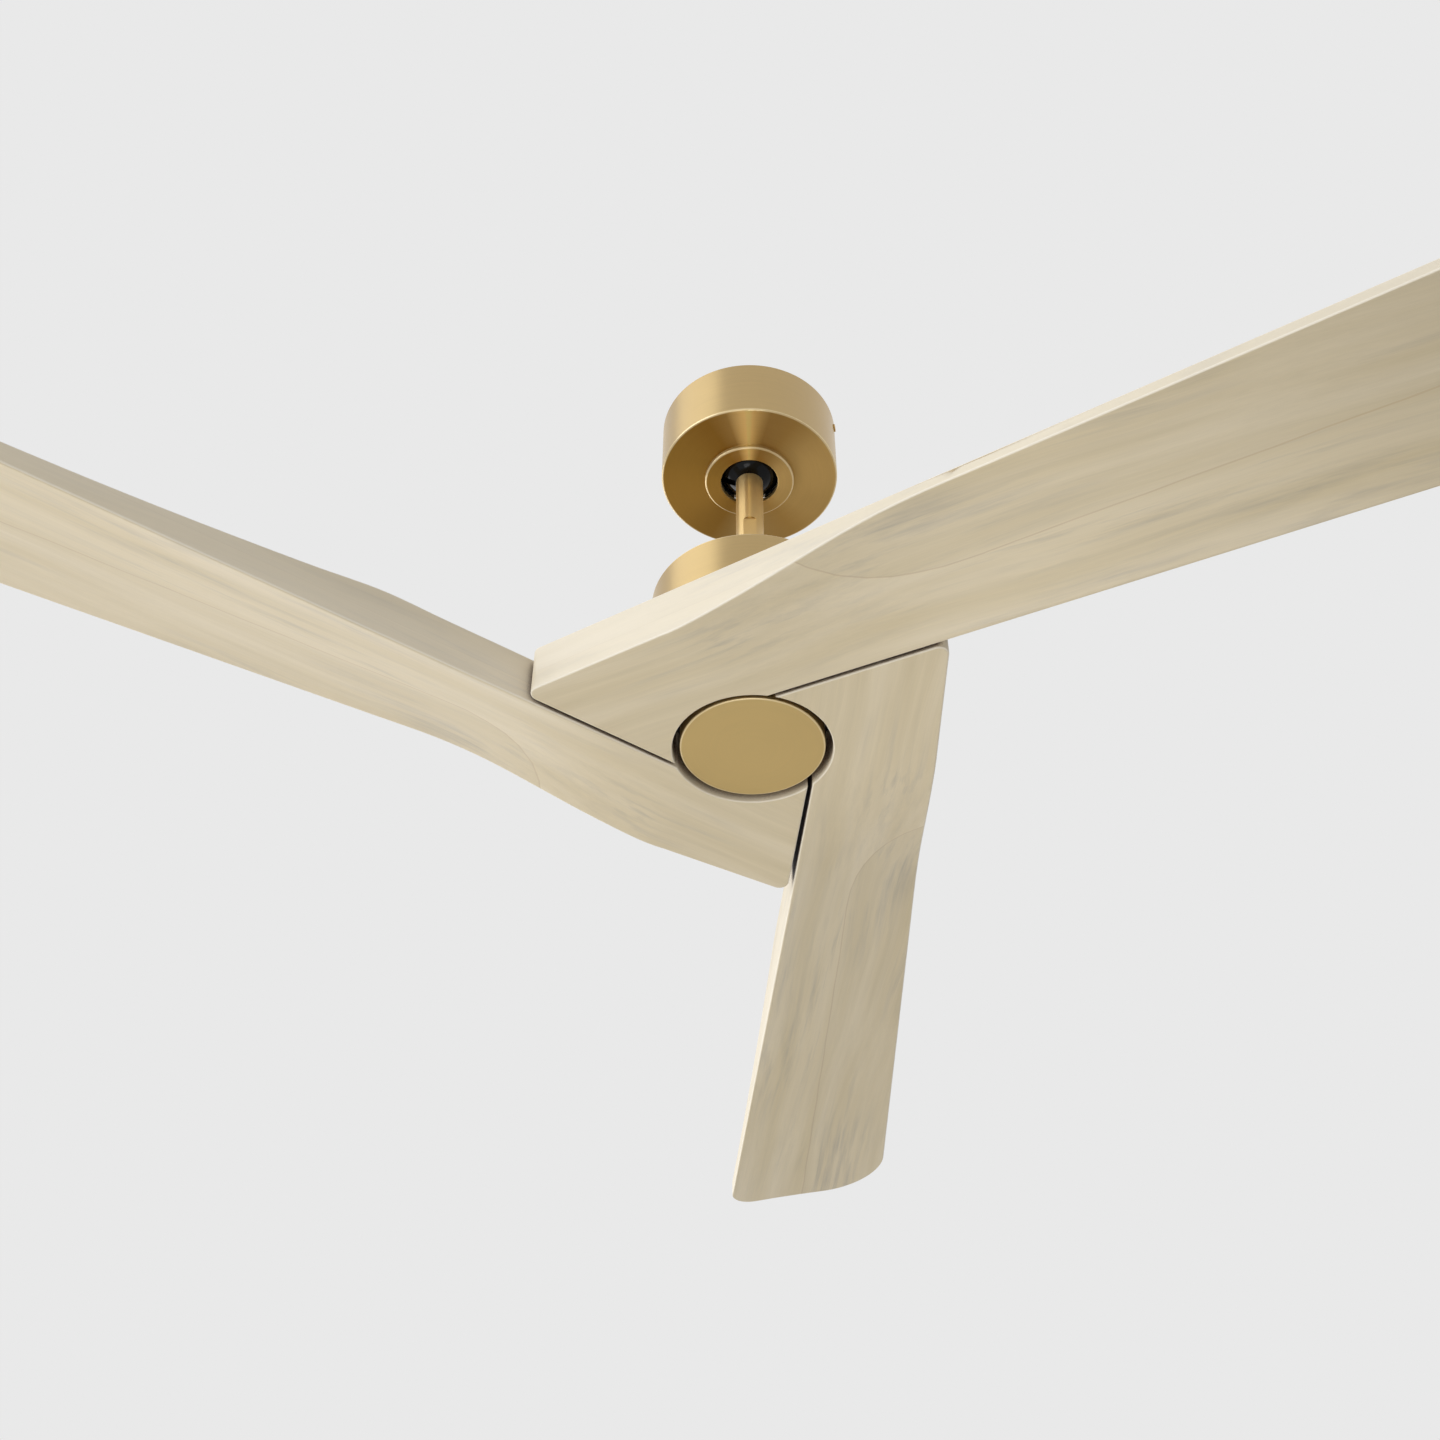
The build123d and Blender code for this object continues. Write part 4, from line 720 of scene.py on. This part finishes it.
class CEILINGFAN_OT_blades(bpy.types.Operator):
    """Finish the three carved blades in laminated maple, each along its own grain"""

    bl_idname = "ceiling_fan.blades"
    bl_label = "Carved blades"

    def execute(self, context):
        wood = context.scene.fan_wood
        for number, name in enumerate(BLADE_NAMES):
            azimuth = wood.first_azimuth - number * BLADE_TURN
            # the painted outer shade darkens only the first blade
            outer_shade = 1.0 - wood.outer_painted_shade if number == 0 else 1.0
            finish_nodes(oiled_maple(azimuth, outer_shade), name)
        return {"FINISHED"}


class CEILINGFAN_OT_brass(bpy.types.Operator):
    """Finish the canopy, its ring, the rod, the motor housing and the hub cap in brass"""

    bl_idname = "ceiling_fan.brass"
    bl_label = "Brass body"

    def execute(self, context):
        metal = context.scene.fan_metal
        for name in ("canopy", "canopy_ring", "motor_housing"):
            low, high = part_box(name)
            outer = 0.5 * (high[0] - low[0]) - RIM_INSET
            rims = [(outer, low[2] + RIM_INSET)]
            if name == "motor_housing":
                rims.append((outer, high[2] - RIM_INSET))
            drum = brushed_brass(name + "_brushed_brass", metal.brass, metal.brass_shaded_underside,
                                 line_pitch=0.9 * MM, roughness=0.40, anisotropy=0.85,
                                 line_depth=0.035, rims=rims)
            finish_nodes(drum, name)
        rod = brushed_brass("satin_drawn_brass", metal.brass_rod, metal.brass_shaded_underside,
                            line_pitch=1.4 * MM, roughness=0.36, anisotropy=0.90, line_depth=0.01)
        low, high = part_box("hub_cap")
        cap_rim = (0.5 * (high[0] - low[0]) - 0.5 * RIM_INSET, low[2] + 0.5 * RIM_INSET)
        cap = brushed_brass("satin_turned_brass", metal.brass_cap, metal.brass_cap,
                            line_pitch=1.0 * MM, roughness=0.46, anisotropy=0.2, line_depth=0.02,
                            rims=[cap_rim], painted_spokes=0.0)
        finish_nodes(rod, "downrod")
        finish_nodes(cap, "hub_cap", "blade_inserts")
        return {"FINISHED"}


class CEILINGFAN_OT_screws(bpy.types.Operator):
    """Build the machine screws with pan heads and cross recesses, and plate them"""

    bl_idname = "ceiling_fan.screws"
    bl_label = "Machine screws"

    def execute(self, context):
        metal = context.scene.fan_metal
        plated = moulded_or_coated("zinc_plated_screws", metal.steel, srgb("#AEB0B3"), 1.0, 0.30,
                                   1.6 * MM, 0.03)
        green = moulded_or_coated("green_passivated_steel", srgb("#1F6B3A"), srgb("#154E2A"), 1.0,
                                  0.35, 0.8 * MM, 0.1)
        brass = moulded_or_coated("polished_brass_screws", metal.brass_rod, metal.brass, 1.0, 0.3,
                                  1.6 * MM, 0.03)
        finishes = {"canopy_screws": brass, "earth_screw": green}
        for node, way, radius, height in SCREW_ROWS:
            piece = machine_screws(node, way, radius, height, context.scene.fan_screw)
            piece.data.materials.clear()
            piece.data.materials.append(finishes.get(node, plated))
        return {"FINISHED"}


class CEILINGFAN_OT_hanger(bpy.types.Operator):
    """Finish the hanger ball, the bracket and what is fixed to them"""

    bl_idname = "ceiling_fan.hanger"
    bl_label = "Hanger and bracket"

    def execute(self, context):
        metal = context.scene.fan_metal
        ball = moulded_or_coated("black_gloss_nylon", metal.ball, srgb("#070606"), 0.0, 0.14,
                                 1.2 * MM, 0.03, ior=1.30)
        zinc = moulded_or_coated("zinc_plated_sheet", metal.steel, srgb("#9DA0A4"), 1.0, 0.34,
                                 2.5 * MM, 0.10)
        screw = moulded_or_coated("zinc_plated_fasteners", metal.steel, srgb("#A9ABAE"), 1.0, 0.26,
                                  0.8 * MM, 0.12)
        block = moulded_or_coated("moulded_white_polyamide", srgb("#E6E2D6"), srgb("#D8D3C4"), 0.0,
                                  0.5, 0.8 * MM, 0.15)
        finish_nodes(ball, "hanger_ball")
        finish_nodes(zinc, "mounting_bracket")
        finish_nodes(screw, "ball_pin", "ball_set_screw", "coupling_pin", "pin_clip",
                     "coupling_set_screws", "lock_washer", "shaft_nut")
        finish_nodes(block, "terminal_block")
        return {"FINISHED"}


# finish, its light and dark colour, metallic, roughness, grain, depth of the grain, and its nodes
MOTOR_FINISHES = (
    ("black_coated_cast_iron", "#26272A", "#1B1C1E", 0.0, 0.55, 1.0 * MM, 0.5, ("rod_coupling",)),
    ("ground_shaft_steel", "#C9CACC", "#B2B4B7", 1.0, 0.22, 0.7 * MM, 0.08,
     ("motor_shaft", "upper_spacer", "stator_sleeve", "lower_spacer")),
    ("ground_bearing_steel", "#D5D6D8", "#BFC1C4", 1.0, 0.14, 0.6 * MM, 0.05,
     ("upper_inner_race", "upper_outer_race", "upper_bearing_balls",
      "lower_inner_race", "lower_outer_race", "lower_bearing_balls")),
    ("stacked_motor_steel", "#77797D", "#5B5D61", 1.0, 0.42, 0.7 * MM, 0.4, ("stator_core",)),
    ("enamelled_copper_wire", "#B5652F", "#8E4A20", 1.0, 0.3, 0.8 * MM, 0.5, ("stator_windings",)),
    ("coated_ferrite", "#3B3B3E", "#2C2C2F", 0.0, 0.5, 0.9 * MM, 0.3, ("rotor_magnets",)),
    ("die_cast_aluminium", "#C4C6C9", "#A7AAAE", 1.0, 0.42, 0.9 * MM, 0.35,
     ("upper_rotor_shell", "lower_rotor_shell", "cap_carrier")),
    ("green_circuit_board", "#1D5A35", "#154527", 0.0, 0.35, 1.5 * MM, 0.1, ("controller_board",)),
    ("dark_moulded_epoxy", "#1E1F22", "#151619", 0.0, 0.45, 0.8 * MM, 0.2, ("board_parts",)),
    ("natural_nylon", "#DCD8C8", "#CBC6B4", 0.0, 0.5, 0.8 * MM, 0.12, ("board_standoffs",)),
    ("black_powder_coat", "#141416", "#0D0D0F", 0.0, 0.6, 0.9 * MM, 0.35, ("hub_plate",)),
    ("black_sheet_rubber", "#111112", "#0B0B0C", 0.0, 0.8, 1.0 * MM, 0.3, ("isolation_gasket",)),
)


class CEILINGFAN_OT_motor(bpy.types.Operator):
    """Finish the motor, its bearings, its circuit board and the hub plate"""

    bl_idname = "ceiling_fan.motor"
    bl_label = "Motor"

    def execute(self, context):
        for name, light, dark, metallic, roughness, grain, depth, nodes in MOTOR_FINISHES:
            finish_nodes(moulded_or_coated(name, srgb(light), srgb(dark), metallic, roughness,
                                           grain, depth), *nodes)
        return {"FINISHED"}


class CEILINGFAN_OT_studio(bpy.types.Operator):
    """Set the backdrop, the floor, the lights and the camera"""

    bl_idname = "ceiling_fan.studio"
    bl_label = "Studio and camera"

    def execute(self, context):
        scene = context.scene
        studio = scene.fan_studio
        scene.view_settings.view_transform = "Standard"

        world = bpy.data.worlds.new("pale_room")
        world.use_nodes = True
        tree = world.node_tree
        tree.nodes.clear()
        ray = add(tree, "ShaderNodeLightPath")
        seen = add(tree, "ShaderNodeMath", {0: (ray, "Is Camera Ray"), 1: (ray, "Is Glossy Ray")},
                   operation="MAXIMUM")
        seen_all = add(tree, "ShaderNodeMath", {0: (seen, 0), 1: (ray, "Is Transmission Ray")},
                       operation="MAXIMUM")
        shown = add(tree, "ShaderNodeBackground", {"Color": rgba(studio.backdrop), "Strength": 1.0})
        # the room is brighter towards its windows on the left
        way = add(tree, "ShaderNodeTexCoord")
        towards = add(tree, "ShaderNodeVectorMath", {0: (way, "Generated"), 1: WINDOW_SIDE},
                      operation="DOT_PRODUCT")
        level = ramp(tree, (towards, "Value"), -1.0, 1.0,
                     studio.ambient * (1.0 - studio.window_share),
                     studio.ambient * (1.0 + studio.window_share))
        even = add(tree, "ShaderNodeBackground",
                   {"Color": rgba(srgb("#F6F7F8")), "Strength": (level, 0)})
        mix = add(tree, "ShaderNodeMixShader", {0: (seen_all, 0), 1: (even, 0), 2: (shown, 0)})
        add(tree, "ShaderNodeOutputWorld", {"Surface": (mix, 0)})
        scene.world = world

        floor = level_disc("floor", FLOOR_END, FLOOR_SIDES, -studio.floor_drop, painted_floor())

        # the ceiling shuts the canopy's open top: a patch of it, seen from below only
        canopy_low, canopy_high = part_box("canopy")
        patch = level_disc("ceiling_patch", PATCH_SHARE * (canopy_high[0] - canopy_low[0]),
                           PATCH_SIDES, canopy_high[2] + PATCH_GAP, painted_ceiling())
        patch.rotation_euler = (math.radians(180.0), 0.0, 0.0)

        middle = Vector((0.0, 0.0, 0.5 * (BLADE_BOTTOM + CEILING)))
        soft_light("key_light", middle, KEY_PLACE, KEY_SIZE, studio.key_power, studio.key_colour)
        soft_light("back_light", middle, BACK_PLACE, BACK_SIZE, studio.back_power)
        soft_light("low_light", middle, LOW_PLACE, LOW_SIZE, studio.low_power)

        settings = scene.fan_camera
        camera_data = bpy.data.cameras.new("camera")
        camera_data.lens = settings.lens
        camera_data.sensor_width = SENSOR_WIDTH
        camera_data.clip_end = VIEW_END
        camera = bpy.data.objects.new("camera", camera_data)
        aim = (Matrix.Rotation(settings.heading, 3, "Z")
               @ Matrix.Rotation(math.radians(90.0) + settings.pitch, 3, "X")
               @ Matrix.Rotation(-settings.roll, 3, "Z"))
        camera.location = (0.0, -settings.distance, -settings.drop)
        camera.rotation_euler = aim.to_euler()
        scene.collection.objects.link(camera)
        scene.camera = camera
        return {"FINISHED"}


def level_disc(name, radius, sides, height, material):
    """Level disc of many sides round the fan's axis."""
    shape = bmesh.new()
    bmesh.ops.create_circle(shape, cap_ends=True, segments=sides, radius=radius)
    disc = object_from(shape, name)
    disc.location = (0.0, 0.0, height)
    disc.data.materials.append(material)
    return disc


def painted_floor():
    """Pale painted floor that keeps the fan's shadow.

    It is seen through from below, and fades into the backdrop far from the fan.
    """
    material, tree = new_material("pale_painted_floor")
    place = add(tree, "ShaderNodeTexCoord")
    mottle = add(tree, "ShaderNodeTexNoise",
                 {"Vector": (place, "Object"), "Scale": 3.0, "Detail": 4.0})
    colour = add(tree, "ShaderNodeMix",
                 {"Factor": (mottle, "Fac"), "A": rgba(srgb("#F0F0F0")),
                  "B": rgba(srgb("#EBEBEA"))}, data_type="RGBA")
    paint = add(tree, "ShaderNodeBsdfPrincipled",
                {"Base Color": (colour, "Result"), "Roughness": 0.7})
    clear = add(tree, "ShaderNodeBsdfTransparent")
    side = add(tree, "ShaderNodeNewGeometry")
    away = add(tree, "ShaderNodeVectorMath", {0: (place, "Object")}, operation="LENGTH")
    faded = ramp(tree, (away, "Value"), FLOOR_FADE, FLOOR_END, 0.0, 1.0)
    hidden = add(tree, "ShaderNodeMath", {0: (faded, 0), 1: (side, "Backfacing")},
                 operation="MAXIMUM")
    mix = add(tree, "ShaderNodeMixShader", {0: (hidden, 0), 1: (paint, 0), 2: (clear, 0)})
    add(tree, "ShaderNodeOutputMaterial", {"Surface": (mix, 0)})
    return material


def painted_ceiling():
    """Pale ceiling paint that shows only to an eye below it, and lets all else through."""
    material, tree = new_material("pale_painted_ceiling")
    paint = add(tree, "ShaderNodeBsdfPrincipled",
                {"Base Color": rgba(srgb("#E4E4E2")), "Roughness": 0.8})
    clear = add(tree, "ShaderNodeBsdfTransparent")
    side = add(tree, "ShaderNodeNewGeometry")
    ray = add(tree, "ShaderNodeLightPath")
    seen = add(tree, "ShaderNodeMath", {0: (ray, "Is Camera Ray"), 1: (side, "Backfacing")},
               operation="SUBTRACT", use_clamp=True)
    mix = add(tree, "ShaderNodeMixShader", {0: (seen, 0), 1: (clear, 0), 2: (paint, 0)})
    add(tree, "ShaderNodeOutputMaterial", {"Surface": (mix, 0)})
    return material


def soft_light(name, middle, offset, size, power, colour=(1.0, 1.0, 1.0)):
    """Soft box at an offset from the middle, which it faces, with its width and height."""
    data = bpy.data.lights.new(name, "AREA")
    data.shape = "RECTANGLE"
    data.size, data.size_y = size
    data.energy = power
    data.color = colour
    lamp = bpy.data.objects.new(name, data)
    lamp.location = middle + offset
    lamp.rotation_euler = (-offset).to_track_quat("-Z", "Y").to_euler()
    lamp.visible_camera = False
    bpy.context.scene.collection.objects.link(lamp)


class CEILINGFAN_PT_panel(bpy.types.Panel):
    """Lists the pieces of the fan and their sizes and colours"""

    bl_idname = "CEILINGFAN_PT_panel"
    bl_label = "Ceiling Fan"
    bl_space_type = "VIEW_3D"
    bl_region_type = "UI"
    bl_category = "Ceiling Fan"

    def draw(self, context):
        layout = self.layout
        for group in GROUPS:
            box = layout.box()
            settings = getattr(context.scene, group)
            for name in settings.__annotations__:
                box.prop(settings, name)
        for operator in OPERATORS:
            layout.operator(operator.bl_idname)


SETTINGS = (FanCameraSettings, FanWoodSettings, FanMetalSettings, FanScrewSettings,
            FanStudioSettings)
GROUPS = ("fan_camera", "fan_wood", "fan_metal", "fan_screw", "fan_studio")
OPERATORS = (CEILINGFAN_OT_blades, CEILINGFAN_OT_brass, CEILINGFAN_OT_screws, CEILINGFAN_OT_hanger,
             CEILINGFAN_OT_motor, CEILINGFAN_OT_studio)


def register():
    """Register the settings, the operators and the panel."""
    for group, settings in zip(GROUPS, SETTINGS):
        bpy.utils.register_class(settings)
        setattr(bpy.types.Scene, group, bpy.props.PointerProperty(type=settings))
    for operator in OPERATORS:
        bpy.utils.register_class(operator)
    bpy.utils.register_class(CEILINGFAN_PT_panel)


def unregister():
    """Take the panel, the operators and the settings away again."""
    bpy.utils.unregister_class(CEILINGFAN_PT_panel)
    for operator in reversed(OPERATORS):
        bpy.utils.unregister_class(operator)
    for group, settings in zip(GROUPS, SETTINGS):
        delattr(bpy.types.Scene, group)
        bpy.utils.unregister_class(settings)


def main():
    register()
    bpy.ops.ceiling_fan.blades()
    bpy.ops.ceiling_fan.brass()
    bpy.ops.ceiling_fan.screws()
    bpy.ops.ceiling_fan.hanger()
    bpy.ops.ceiling_fan.motor()
    bpy.ops.ceiling_fan.studio()


if __name__ == "__main__":
    main()
